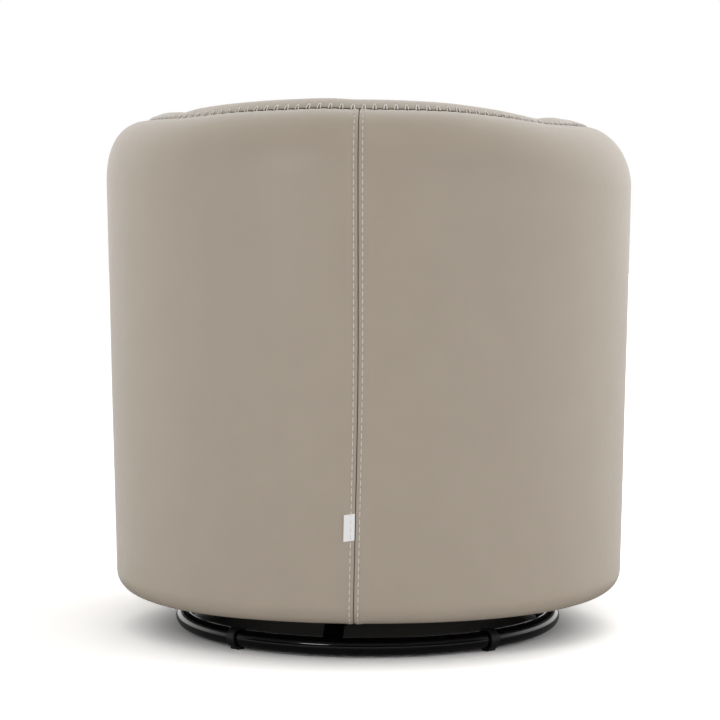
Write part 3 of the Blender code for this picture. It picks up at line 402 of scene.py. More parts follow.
def outer_outline(cut, edge):
    """The outer leather: out of the groove, over the shoulder, down the wall, round the foot and in."""
    top = cut.seam_height - SEAM_LIP
    line = [(SEAM_INSET, top - GROOVE_DEPTH), (SEAM_INSET, top - GROOVE_DEPTH / 2)]
    for angle in steps(0, pi / 2, EDGE_STEPS):
        line.append((SEAM_INSET - edge + edge * cos(angle), top - edge + edge * sin(angle)))
    line += shoulder_points(cut, SEAM_TURN, 40)
    foot = foot_points(cut.bottom, 10)
    for share in steps(0, 1, 80)[1:-1]:
        line.append((foot[0][0] * share, cut.shoulder + (foot[0][1] - cut.shoulder) * share))
    line += foot + [(foot[-1][0] + FLAP * share, cut.bottom) for share in steps(0, 1, 5)[1:]]
    stretch = 1 + cut.swell / SHOULDER_WIDTH
    return [(inset * stretch - cut.swell, height) for inset, height in line]


def inner_roll(cut, inner_steps=14):
    """The inner leather's roll from the rim seam over its crest to the inner face."""
    width = cut.width - cut.pinch
    crest = SHOULDER_WIDTH + CREST_SHARE * (width - SHOULDER_WIDTH)
    reach = crest - PAD_EDGE_INSET
    angles = steps(0, SEAM_TURN, ROLL_FOOT_STEPS) + steps(SEAM_TURN, pi / 2, ROLL_STEPS)[1:]
    line = [
        (crest - reach * cos(angle), cut.seam_height + cut.roll_rise * sin(angle) ** (1 + cut.softness))
        for angle in angles
    ]
    top = cut.seam_height + cut.roll_rise
    return line + [
        (crest + (width - crest) * sin(angle), top - ROLL_DEPTH * (1 - cos(angle)))
        for angle in steps(0, pi / 2, inner_steps)[1:]
    ]


def pad_outline(cut):
    """A closed pad: roll, inner face, bottom, and its back on the posts and over the rail."""
    line = inner_roll(cut)
    inset, top = line[-1]
    cushion_top = DECK + CUSHION_EDGE
    for height in steps(top, DECK, 26)[1:]:
        line.append((inset + cut.lean * smooth((top - height) / (top - cushion_top)), height))
    shelf = cut.rail_top + RAIL_GAP
    line += [(PAD_BACK_INSET, DECK), (PAD_BACK_INSET, shelf), (PAD_EDGE_INSET, shelf)]
    line.append((PAD_EDGE_INSET, cut.seam_height - PAD_TUCK))
    return line


def outline_normals(line):
    """The outward direction at each point of an outline that runs down its outside."""
    normals = []
    for i in range(len(line)):
        before, after = line[max(i - 1, 0)], line[min(i + 1, len(line) - 1)]
        run = Vector((after[0] - before[0], after[1] - before[1])).normalized()
        normals.append((run.y, -run.x))
    return normals


def outline_runs(line):
    """The distance along an outline to each of its points."""
    runs = [0.0]
    for (a, b), (c, d) in zip(line, line[1:]):
        runs.append(runs[-1] + sqrt((c - a) ** 2 + (d - b) ** 2))
    return runs


# Builders

def new_object(name, mesh, material, smooth_angle=35):
    obj = bpy.data.objects.new(name, mesh)
    bpy.context.scene.collection.objects.link(obj)
    mesh.materials.clear()
    mesh.materials.append(material)
    mesh.shade_smooth()
    mesh.set_sharp_from_angle(angle=radians(smooth_angle))
    return obj


def piece_from(bm, name, material, smooth_angle=35):
    mesh = bpy.data.meshes.new(name)
    bm.to_mesh(mesh)
    bm.free()
    return new_object(name, mesh, material, smooth_angle)


def laid_grid(lines, closed=False, seam_wax_and_shades=None):
    """A bmesh grid whose columns follow lines of points; closed joins each line's ends and caps the grid.

    The last argument says how deep in a seam each point lies, from 0 to 1, which the leather's colour follows:
    its dark waxed edge and painted seam shade.
    """
    bm = bmesh.new()
    across, along = len(lines) - 1, len(lines[0]) - (0 if closed else 1)
    bmesh.ops.create_grid(bm, x_segments=across, y_segments=along, size=0.5)
    layer = bm.verts.layers.float.new("seam_wax_and_shade")
    for vert in bm.verts:
        column, row = round((vert.co.x + 0.5) * across), round((vert.co.y + 0.5) * along)
        row %= len(lines[column])
        vert.co = lines[column][row]
        vert[layer] = seam_wax_and_shades[column][row] if seam_wax_and_shades else 0.0
    if closed:
        bmesh.ops.remove_doubles(bm, verts=bm.verts, dist=1e-6)
        bmesh.ops.holes_fill(bm, edges=[e for e in bm.edges if e.is_boundary])
    bmesh.ops.recalc_face_normals(bm, faces=bm.faces)
    return bm


def face_outwards(bm, outward):
    """Turn an open sheet over if most of it looks away from outward."""
    total = sum(face.normal.dot(outward(face.calc_center_median())) * face.calc_area() for face in bm.faces)
    if total < 0:
        bmesh.ops.reverse_faces(bm, faces=bm.faces)


def turned_edge_shade(number):
    """How deep in its seam a leather's turned edge is, at one of the points round it, which sets how dark its
    painted seam shade is.
    """
    return max(0.0, 0.9 - 0.4 * number)


def give_thickness(obj, thickness):
    solid = obj.modifiers.new("leather", "SOLIDIFY")
    solid.thickness = thickness
    solid.offset = -1


# Materials

def add_node(tree, kind, sockets=None, **settings):
    """Add a node with its settings, and give its sockets values, or links from nodes or their sockets."""
    made = tree.nodes.new(kind)
    for name, value in settings.items():
        setattr(made, name, value)
    for socket, value in (sockets or {}).items():
        if isinstance(value, bpy.types.Node):
            value = value.outputs[0]
        if isinstance(value, bpy.types.NodeSocket):
            tree.links.new(value, made.inputs[socket])
        else:
            made.inputs[socket].default_value = value
    return made


def per_mm(size):
    """Scale of a texture whose cells are this many millimetres, on coordinates in metres."""
    return 1000 / size


def new_material(name, roughness, metallic=0.0, ior=1.5):
    """A material with its Principled shader's uniform values set on the shader's own sockets."""
    material = bpy.data.materials.get(name)
    if material:
        return material, None, None
    material = bpy.data.materials.new(name)
    material.use_nodes = True
    tree = material.node_tree
    shader = tree.nodes["Principled BSDF"]
    shader.inputs["Roughness"].default_value = roughness
    shader.inputs["Metallic"].default_value = metallic
    if not metallic:
        shader.inputs["IOR"].default_value = ior
    return material, tree, shader


def object_coordinates(tree, stretch=(1, 1, 1)):
    """Object coordinates, stretched where a pattern is longer one way."""
    place = add_node(tree, "ShaderNodeTexCoord").outputs["Object"]
    return add_node(tree, "ShaderNodeMapping", {"Vector": place, "Scale": stretch}).outputs["Vector"]


def mottle(tree, shader, place, size, low, high, detail=3.0):
    """Colour that wanders between two tones in patches of a size in millimetres."""
    patches = add_node(
        tree, "ShaderNodeTexNoise", {"Vector": place, "Scale": per_mm(size), "Detail": detail},
    )
    # Sockets 6 and 7 are a Mix node's two colours, and 2 is its mixed colour.
    mix = add_node(
        tree, "ShaderNodeMix", {0: patches.outputs["Fac"], 6: (*low, 1), 7: (*high, 1)}, data_type="RGBA",
    )
    tree.links.new(mix.outputs[2], shader.inputs["Base Color"])
    return mix


def leather_material():
    """Corrected-grain cowhide, pigmented and lightly waxed: even stone grey, fine grain, soft sheen."""
    material, tree, shader = new_material("pigmented_cowhide", 0.40)
    if not tree:
        return material
    colours = bpy.context.scene.tub_chair_colours
    place = object_coordinates(tree)
    hide = mottle(tree, shader, place, 60, colours.leather_shade, colours.leather)
    # The edges turned into the seams are coloured darker than the hide's face: partly the leather's dark waxed
    # edge, partly painted shade deep in the seams and under the whip stitches.
    seam_wax_and_shade = add_node(tree, "ShaderNodeAttribute", attribute_name="seam_wax_and_shade").outputs["Fac"]
    edged = add_node(
        tree, "ShaderNodeMix", {0: seam_wax_and_shade, 6: hide.outputs[2], 7: (*colours.seam_wax_and_shade, 1)}, data_type="RGBA",
    )
    tree.links.new(edged.outputs[2], shader.inputs["Base Color"])
    # The real grain is under 1 mm, too fine to show, so its pebbles are drawn 2.5 mm across and shallow.
    grain = add_node(
        tree, "ShaderNodeTexVoronoi", {"Vector": place, "Scale": per_mm(2.5)}, feature="SMOOTH_F1",
    )
    creases = add_node(tree, "ShaderNodeTexNoise", {"Vector": place, "Scale": per_mm(9), "Detail": 4.0})
    both = add_node(
        tree, "ShaderNodeMath", {0: grain.outputs["Distance"], 1: creases.outputs["Fac"]}, operation="ADD",
    )
    relief = add_node(
        tree, "ShaderNodeBump", {"Height": both.outputs[0], "Strength": 0.12, "Distance": 0.0006},
    )
    tree.links.new(relief.outputs["Normal"], shader.inputs["Normal"])
    sheen = add_node(
        tree, "ShaderNodeMapRange",
        {"Value": creases.outputs["Fac"], "From Min": 0.3, "From Max": 0.7, "To Min": 0.36, "To Max": 0.42},
    )
    tree.links.new(sheen.outputs["Result"], shader.inputs["Roughness"])
    return material


def thread_material(name, tint):
    """Bonded polyester thread, waxed: pale, with a soft shine and the twist of its strands."""
    material, tree, shader = new_material(name, 0.5)
    if not tree:
        return material
    place = object_coordinates(tree)
    mottle(tree, shader, place, 2, [c * 0.9 for c in tint], tint, 1.0)
    twist = add_node(
        tree, "ShaderNodeTexWave", {"Vector": place, "Scale": per_mm(1.2) / (2 * pi), "Distortion": 1.0},
        bands_direction="DIAGONAL",
    )
    relief = add_node(
        tree, "ShaderNodeBump", {"Height": twist.outputs["Fac"], "Strength": 0.3, "Distance": 0.0002},
    )
    tree.links.new(relief.outputs["Normal"], shader.inputs["Normal"])
    return material


def tape_material():
    """Woven polyester tape: white, matt, with fine ribs across it."""
    material, tree, shader = new_material("woven_polyester_tape", 0.75)
    if not tree:
        return material
    tint = bpy.context.scene.tub_chair_colours.tape
    place = object_coordinates(tree)
    mottle(tree, shader, place, 1.5, [c * 0.93 for c in tint], tint)
    # The ribs are 0.4 mm apart on the real tape, and are drawn 1 mm apart to show.
    ribs = add_node(
        tree, "ShaderNodeTexWave", {"Vector": place, "Scale": per_mm(1.0) / (2 * pi)}, bands_direction="Z",
    )
    relief = add_node(
        tree, "ShaderNodeBump", {"Height": ribs.outputs["Fac"], "Strength": 0.3, "Distance": 0.0003},
    )
    tree.links.new(relief.outputs["Normal"], shader.inputs["Normal"])
    return material


def plain_material(
    name, low, high, roughness, patch, grit, depth, strength=0.4, detail=2.0, metallic=0.0, stretch=(1, 1, 1),
    ior=1.5,
):
    """A finish of two close tones in patches, with a fine relief; patch, grit and depth are in mm."""
    material, tree, shader = new_material(name, roughness, metallic, ior)
    if not tree:
        return material
    place = object_coordinates(tree, stretch)
    mottle(tree, shader, place, patch, low, high)
    fine = add_node(tree, "ShaderNodeTexNoise", {"Vector": place, "Scale": per_mm(grit), "Detail": detail})
    relief = add_node(
        tree, "ShaderNodeBump",
        {"Height": fine.outputs["Fac"], "Strength": strength, "Distance": depth / 1000},
    )
    tree.links.new(relief.outputs["Normal"], shader.inputs["Normal"])
    return material


def enamel_material():
    """Black baked enamel on steel: deep gloss with the slight orange peel of sprayed paint."""
    tint = bpy.context.scene.tub_chair_colours.enamel
    return plain_material(
        "black_baked_enamel", [c * 0.8 for c in tint], tint, 0.09, patch=30, grit=3, depth=0.2, strength=0.05,
        detail=1.0,
    )


HIDDEN_FINISHES = {
    # Sanded birch plywood: pale, matt, with long fine grain.
    "plywood": {
        "name": "sanded_birch_plywood", "low": linear("#B8915F"), "high": linear("#D2AE7C"), "roughness": 0.6,
        "patch": 14, "grit": 1.2, "depth": 0.1, "stretch": (1, 1, 0.12),
    },
    # Oil-tempered hardboard: brown, smooth, faintly flecked.
    "fibreboard": {
        "name": "tempered_hardboard", "low": linear("#5E4630"), "high": linear("#745841"), "roughness": 0.5,
        "patch": 5, "grit": 0.8, "depth": 0.05,
    },
    # Elastic webbing of rubber thread in a polypropylene weave: black, matt, coarse.
    "webbing": {
        "name": "elastic_webbing", "low": linear("#17171A"), "high": linear("#26262A"), "roughness": 0.7,
        "patch": 3, "grit": 1.5, "depth": 0.3,
    },
    # Spun-bonded polypropylene: black, matt, with flattened fibres.
    "black_cloth": {
        "name": "spunbond_polypropylene", "low": linear("#101011"), "high": linear("#1B1B1D"),
        "roughness": 0.85, "patch": 4, "grit": 1.0, "depth": 0.15,
    },
    # Moulded polypropylene: black, satin, with a fine spark-eroded grain.
    "black_plastic": {
        "name": "moulded_polypropylene", "low": linear("#0C0C0D"), "high": linear("#131315"),
        "roughness": 0.42, "patch": 12, "grit": 0.8, "depth": 0.04, "ior": 1.49,
    },
    # Zinc-plated pressed steel: bright grey with faint cloudy patches.
    "zinc_steel": {
        "name": "zinc_plated_steel", "low": linear("#A9ABB0"), "high": linear("#C2C4C8"), "roughness": 0.32,
        "patch": 8, "grit": 1.5, "depth": 0.03, "metallic": 1.0,
    },
    # Polyurethane foam: pale yellow and matt, with open cells.
    "foam": {
        "name": "polyurethane_foam", "low": linear("#CFC39A"), "high": linear("#E0D6B2"), "roughness": 0.9,
        "patch": 6, "grit": 1.5, "depth": 0.5,
    },
}


def hidden_finish(kind):
    """The finish of a piece inside or under the tub."""
    return plain_material(**HIDDEN_FINISHES[kind])


# Pieces

class CHAIR_OT_outer_leather(bpy.types.Operator):
    """The outer leather in two halves, turned in at the rim seam and at the seam down the back"""

    bl_idname = "tub_chair.outer_leather"
    bl_label = "Outer leather"

    def columns(self, tub, side):
        """Places round one half, as (along, how far the edge sinks there, how deep it is in the seam, which
        sets the waxed edge and painted seam shade).
        """
        opening, edge, fine = tub.seam_opening, tub.edge, 0.0006
        places = [(opening, BACK_GROOVE_DEPTH, 1.0), (opening, BACK_GROOVE_DEPTH / 2, 1.0)]
        for number, angle in enumerate(steps(pi, pi / 2, EDGE_STEPS)):
            sink = edge - edge * sin(angle)
            places.append((opening + edge + edge * cos(angle), sink, turned_edge_shade(number)))
        beside = steps(opening + edge, FINE_BAND, round(FINE_BAND / fine))[1:-1]
        places += [(along, 0.0, 0.0) for along in beside]
        places += [(along, 0.0, 0.0) for along in between_whips(side, FINE_BAND, QUARTER + ARM_REACH, 4)]
        return places

    def execute(self, context):
        tub = context.scene.tub_chair_tub
        runs = outline_runs(outer_outline(Cut(1, 0), tub.edge))
        for side, hand in ((1, "left"), (-1, "right")):
            lines, seam_wax_and_shades = [], []
            for along, sink, deep in self.columns(tub, side):
                cut = Cut(side, along)
                outline = outer_outline(cut, tub.edge)
                line = []
                for (inset, height), (out, up), run in zip(outline, outline_normals(outline), runs):
                    rise = self.relief(tub, side, along, height, run) - sink
                    spot = cut.point(inset + out * rise, height + up * rise)
                    line.append(stray(spot, along, side))
                lines.append(line)
                # The turned edge at the rim seam is coloured dark: its waxed edge, and painted shade in the
                # groove.
                groove = [1.0, 1.0] + [turned_edge_shade(number) for number in range(EDGE_STEPS + 1)]
                groove += [0.0] * (len(line) - len(groove))
                seam_wax_and_shades.append([max(deep, in_groove) for in_groove in groove])
            bm = laid_grid(lines, seam_wax_and_shades=seam_wax_and_shades)
            face_outwards(bm, lambda spot: Vector((spot.x, max(spot.y, 0), 0)))
            obj = piece_from(bm, f"outer_leather_{hand}", leather_material(), 60)
            give_thickness(obj, tub.leather)
            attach(obj, "chair")
            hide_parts(f"outer_cover_{hand}")
        return {"FINISHED"}

    @staticmethod
    def relief(tub, side, along, height, run):
        """How far the leather stands out of its even shape."""
        # The allowance folded behind the leather raises a band beside the seam, and the stitches dent it.
        band = smooth((along - 0.001) / 0.002) * (1 - smooth((along - tub.allowance) / 0.007))
        rise = tub.allowance_rise * band
        rise -= 0.00035 * bump(along - bpy.context.scene.tub_chair_stitches.top_offset, 0.0009)
        # The whip stitches draw in shallow puckers, which fade down the shoulder and towards the back seam.
        first, pitch = whips(side)
        drawn = cos(2 * pi * (rim_distance_of(along) - first) / pitch)
        rise -= tub.pucker * drawn * bump(max(run - 0.010, 0.0), 0.022) * smooth(along / 0.02)
        # The leather lies in slow waves over its wadding, and flat at its seams.
        waver = noise.noise(Vector((side * along * 7, height * 7, 3.7))) * tub.waver
        return rise + waver * smooth(along / 0.03) * smooth(run / 0.05)


class CHAIR_OT_rim_foam(bpy.types.Operator):
    """The foam roll under the rounded shoulder"""

    bl_idname = "tub_chair.rim_foam"
    bl_label = "Rim foam"

    def execute(self, context):
        lines = []
        for side in (-1, 1):
            places = steps(0.0, QUARTER + ARM_REACH, 90)
            for along in places[::-1] if side < 0 else places[1:]:
                cut = Cut(side, along)
                curve = shoulder_points(cut, 0.10, 12, COVER)
                shelf = cut.rail_top + RAIL_GAP
                taper = FOOT_TAPER * (cut.shoulder - shelf) / (cut.shoulder - TUB_BOTTOM - FOOT_RADIUS)
                outline = curve + [(COVER + taper, shelf), (curve[0][0], shelf)]
                lines.append([cut.point(inset, height) for inset, height in outline])
        bm = laid_grid(lines, closed=True)
        obj = piece_from(bm, "foam_roll", hidden_finish("foam"), 50)
        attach(obj, "chair")
        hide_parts("rim_foam")
        return {"FINISHED"}


class CHAIR_OT_inner_pads(bpy.types.Operator):
    """The padded back and arms inside the tub, rolled over the rim to the seam"""

    bl_idname = "tub_chair.inner_pads"
    bl_label = "Inner pads"

    def execute(self, context):
        half_gap = 0.0007
        edges = {side: radians(PANEL_ANGLE[side]) * TUB_RADIUS for side in (1, -1)}
        right = [(-1, along) for along in between_whips(-1, 0.0, edges[-1] - half_gap, WHIP_COLUMNS)]
        left = [(1, along) for along in between_whips(1, 0.0, edges[1] - half_gap, WHIP_COLUMNS)]
        self.pad("inner_back", "inner_back_pad", right[:0:-1] + left, edges)
        for side, hand in ((1, "left"), (-1, "right")):
            start = edges[side] + half_gap
            arm = [(side, along) for along in between_whips(side, start, QUARTER + ARM_REACH, WHIP_COLUMNS)]
            self.pad(f"inner_arm_{hand}", f"inner_arm_pad_{hand}", arm, edges)
        return {"FINISHED"}

    def pad(self, name, node, places, edges):
        lines, seam_wax_and_shades = [], []
        for side, along in places:
            near = 1 - min(abs(along - edges[side]) / PANEL_EASE, 1.0)
            cut = Cut(side, along, PANEL_PINCH * (1 - sqrt(1 - near ** 2)))
            outline = pad_outline(cut)
            # The roll is gathered in at each whip stitch, and inside the stitch its painted seam shade reaches
            # higher, a painted shadow under the stitch.
            under_stitch_shade = bump(to_nearest_whip(side, along), 0.0013)
            gather = bump(to_nearest_whip(side, along), 0.0026)
            # Within a little over a millimetre of the seams between the pads the leather is painted dark, a
            # painted shade in those seams.
            seam = max(0.0, 1 - abs(along - edges[side]) / 0.0012)
            line, seam_wax_and_shade = [], []
            normals, runs = outline_normals(outline), outline_runs(outline)
            for (inset, height), (out, up), run in zip(outline, normals, runs):
                near_seam = bump(run, 0.010)
                rise = (0.0005 - 0.0012 * gather) * near_seam * smooth(run / 0.003)
                line.append(cut.point(inset - out * rise, height - up * rise))
                depth = (0.0016 + 0.0012 * under_stitch_shade) * cut.shade
                seam_wax_and_shade.append(max(seam, 1 - smooth((run - depth * 0.4) / (depth * 0.8))))
            lines.append(line)
            seam_wax_and_shades.append(seam_wax_and_shade)
        bm = laid_grid(lines, closed=True, seam_wax_and_shades=seam_wax_and_shades)
        obj = piece_from(bm, name, leather_material(), 50)
        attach(obj, "chair")
        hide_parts(node)


class CHAIR_OT_whip_stitches(bpy.types.Operator):
    """The cord that whips the inner leather to the outer one all along the rim"""

    bl_idname = "tub_chair.whip_stitches"
    bl_label = "Whip stitches"

    def execute(self, context):
        stitches = context.scene.tub_chair_stitches
        half, thread = stitches.whip_half_width, stitches.whip_thread
        # Across the stitch and up the roll, from one foot over the top to the other
        arch = [(-1.0, -0.10), (-1.0, 0.10), (-0.92, 0.38), (-0.74, 0.66), (-0.42, 0.90), (0.0, 1.0)]
        arch += [(-across, up) for across, up in reversed(arch[:-1])]
        curve = bpy.data.curves.new("whip_stitches", "CURVE")
        curve.dimensions = "3D"
        curve.bevel_depth = thread / 2
        curve.bevel_resolution = 1
        curve.use_fill_caps = True
        for side in (1, -1):
            place, pitch = whips(side)
            number = 0
            while place < RIM_QUARTER + ARM_REACH - half:
                slant = 0.12 + 0.22 * noise.noise(Vector((number * 1.7, side, 0)))
                pulled_down = WHIP_PULL[side] * smooth((degrees(place / TUB_RADIUS) - 15) / 30)
                tall = stitches.whip_height * (1 + 0.16 * noise.noise(Vector((number * 2.3, side, 5))))
                tall *= 1 - pulled_down
                stray_by = 0.0007 * noise.noise(Vector((number * 3.1, side, 9)))
                spline = curve.splines.new("POLY")
                spline.points.add(len(arch) - 1)
                for point, (across, up) in zip(spline.points, arch):
                    shift = across * half - side * slant * up * tall + stray_by
                    cut = Cut(side, along_of(max(place + shift, 0.0)))
                    point.co = (*self.on_roll(cut, up * tall, thread * 0.5), 1)
                place += pitch
                number += 1
        source = bpy.data.objects.new("whip_stitches_curve", curve)
        mesh = bpy.data.meshes.new_from_object(source)
        bpy.data.objects.remove(source)
        mesh.name = "whip_stitches"
        cord = thread_material("waxed_whip_cord", context.scene.tub_chair_colours.cord)
        obj = new_object("whip_stitches", mesh, cord)
        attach(obj, "chair")
        return {"FINISHED"}

    @staticmethod
    def on_roll(cut, up, lift):
        """A point on the outer side of the inner leather's roll, a height above the seam, lifted off it."""
        outline = inner_roll(cut)
        normals = outline_normals(outline)
        height = cut.seam_height + max(up, 0.0)
        index = max(i for i in range(ROLL_FOOT_STEPS + ROLL_STEPS) if outline[i][1] <= height)
        share = (height - outline[index][1]) / (outline[index + 1][1] - outline[index][1])
        spot = Vector(outline[index]).lerp(Vector(outline[index + 1]), share)
        inwards = Vector(normals[index]).lerp(Vector(normals[index + 1]), share).normalized()
        return cut.point(spot.x - inwards.x * lift, spot.y - inwards.y * lift)


class CHAIR_OT_topstitches(bpy.types.Operator):
    """The two rows of stitches beside the seam down the back"""

    bl_idname = "tub_chair.topstitches"
    bl_label = "Topstitches"

    def execute(self, context):
        tub, stitches = context.scene.tub_chair_tub, context.scene.tub_chair_stitches
        outline = outer_outline(Cut(1, 0), tub.edge)
        normals, runs = outline_normals(outline), outline_runs(outline)
        bm = bmesh.new()
        # The first stitch lies just below the rim seam, and the last where the flap turns in.
        centre = 1.1 * stitches.top_pitch
        index = 0
        last = runs[-1] - FLAP
        while centre < last:
            while runs[index + 1] < centre:
                index += 1
            share = (centre - runs[index]) / (runs[index + 1] - runs[index])
            spot = Vector(outline[index]).lerp(Vector(outline[index + 1]), share)
            run = (Vector(outline[index + 1]) - Vector(outline[index])).normalized()
            out, up = normals[index]
            for side in (1, -1):
                cut = Cut(side, stitches.top_offset)
                lift = tub.allowance_rise + 0.0001
                place = cut.point(spot.x, spot.y) + cut.inward * out * lift + Vector((0, 0, up * lift))
                down = (cut.inward * run.x + Vector((0, 0, run.y))).normalized()
                away = (cut.inward * out + Vector((0, 0, up))).normalized()
                turn = Matrix((down.cross(away), away, down)).transposed().to_4x4()
                # Each stitch is pressed flatter than it is wide.
                half_size = (stitches.top_width / 2, stitches.top_width * 0.36, stitches.top_length / 2, 1)
                shape = turn @ Matrix.Diagonal(half_size)
                made = bmesh.ops.create_uvsphere(bm, u_segments=8, v_segments=6, radius=1.0, matrix=shape)
                for vert in made["verts"]:
                    vert.co = stray(vert.co + place, stitches.top_offset, side)
            centre += stitches.top_pitch
        bmesh.ops.recalc_face_normals(bm, faces=bm.faces)
        material = thread_material("bonded_thread", context.scene.tub_chair_colours.thread)
        obj = piece_from(bm, "topstitches", material)
        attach(obj, "chair")
        return {"FINISHED"}


class CHAIR_OT_seam_tag(bpy.types.Operator):
    """The bare white tape sewn into the back seam"""

    bl_idname = "tub_chair.seam_tag"
    bl_label = "Seam tag"

    def execute(self, context):
        low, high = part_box("seam_tag")
        width, tall = high.x - low.x, high.z - low.z
        lines = []
        for across in steps(0, 1, 10):
            line = []
            for upward in steps(0, 1, 16):
                # The tape hangs a little, and curls off the leather towards its free edge.
                height = low.z + tall * upward - 0.0018 * across
                cut = Cut(1, low.x + width * across)
                share = (cut.shoulder - height) / (cut.shoulder - TUB_BOTTOM - FOOT_RADIUS)
                lift = 0.0008 + 0.0012 * across ** 2
                line.append(stray(cut.point(FOOT_TAPER * share - lift, height), 0.0, 1))
            lines.append(line)
        bm = laid_grid(lines)
        face_outwards(bm, lambda spot: Vector((0, 1, 0)))
        bmesh.ops.solidify(bm, geom=bm.faces, thickness=TAPE_THICKNESS)
        obj = piece_from(bm, "tag", tape_material())
        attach(obj, "chair")
        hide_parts("seam_tag")
        return {"FINISHED"}


class CHAIR_OT_arm_facings(bpy.types.Operator):
    """The padded panels that close the front of the arms"""

    bl_idname = "tub_chair.arm_facings"
    bl_label = "Arm facings"

    def execute(self, context):
        for side, hand in ((1, "left"), (-1, "right")):
            cut = Cut(side, QUARTER + ARM_REACH)
            outside = shoulder_points(cut, 0.075, 12) + foot_points(cut.bottom, 8)
            inner_face, rounding, edge_roll = cut.width, 0.011, 0.010
            outline = outside[::-1] + inner_roll(cut, 10)[ROLL_FOOT_STEPS:]
            outline += [(inner_face, TUB_BOTTOM + rounding)]
            outline += [
                (inner_face - rounding + rounding * cos(a), TUB_BOTTOM + rounding - rounding * sin(a))
                for a in steps(0, pi / 2, 4)[1:]
            ]
            back = -ARM_REACH - FACING_GAP
            bm = bmesh.new()
            out = cut.outer.x * side
            verts = [bm.verts.new((side * (out - inset), back, height)) for inset, height in outline]
            panel = bm.faces.new(verts)
            made = bmesh.ops.extrude_face_region(bm, geom=[panel])["geom"]
            front = [v for v in made if isinstance(v, bmesh.types.BMVert)]
            bmesh.ops.translate(bm, verts=front, vec=(0, ARM_CROWN - ARM_FACING, 0))
            bmesh.ops.recalc_face_normals(bm, faces=bm.faces)
            rim = [e for e in bm.edges if all(v in front for v in e.verts)]
            bmesh.ops.bevel(
                bm, geom=rim, offset=edge_roll, segments=6, profile=0.5, affect="EDGES", material=-1,
                clamp_overlap=True,
            )
            # The face is crowned by the foam behind it.
            face = max(bm.faces, key=lambda f: -f.calc_center_median().y * f.calc_area())
            about_middle = Matrix.Translation(-face.calc_center_bounds())
            for narrower, shorter, rise in ((0.86, 0.975, 0.0012), (0.78, 0.965, 0.0008)):
                raised = bmesh.ops.extrude_face_region(bm, geom=[face])["geom"]
                bmesh.ops.delete(bm, geom=[face], context="FACES_ONLY")
                face = next(part for part in raised if isinstance(part, bmesh.types.BMFace))
                bmesh.ops.translate(bm, verts=face.verts, vec=(0, -rise, 0))
                bmesh.ops.scale(bm, verts=face.verts, vec=(narrower, 1, shorter), space=about_middle)
            bmesh.ops.recalc_face_normals(bm, faces=bm.faces)
            obj = piece_from(bm, f"arm_front_{hand}", leather_material(), 50)
            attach(obj, "chair")
            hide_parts(f"arm_facing_{hand}")
        return {"FINISHED"}


class CHAIR_OT_ring_base(bpy.types.Operator):
    """The ring of enamelled steel tube"""

    bl_idname = "tub_chair.ring_base"
    bl_label = "Ring base"

    def execute(self, context):
        low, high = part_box("base_ring")
        tube = (high.z - low.z) / 2
        radius = high.x - tube
        bm = bmesh.new()
        turn = Matrix.Translation((radius, 0, low.z + tube)) @ Matrix.Rotation(pi / 2, 4, "X")
        circle = bmesh.ops.create_circle(bm, segments=28, radius=tube, matrix=turn)
        loop = circle["verts"] + list({e for v in circle["verts"] for e in v.link_edges})
        bmesh.ops.spin(
            bm, geom=loop, cent=(0, 0, 0), axis=(0, 0, 1), angle=2 * pi, steps=200, use_merge=True,
        )
        bmesh.ops.remove_doubles(bm, verts=bm.verts, dist=1e-6)
        bmesh.ops.recalc_face_normals(bm, faces=bm.faces)
        obj = piece_from(bm, "ring_tube", enamel_material(), 60)
        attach(obj, "base")
        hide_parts("base_ring")
        return {"FINISHED"}


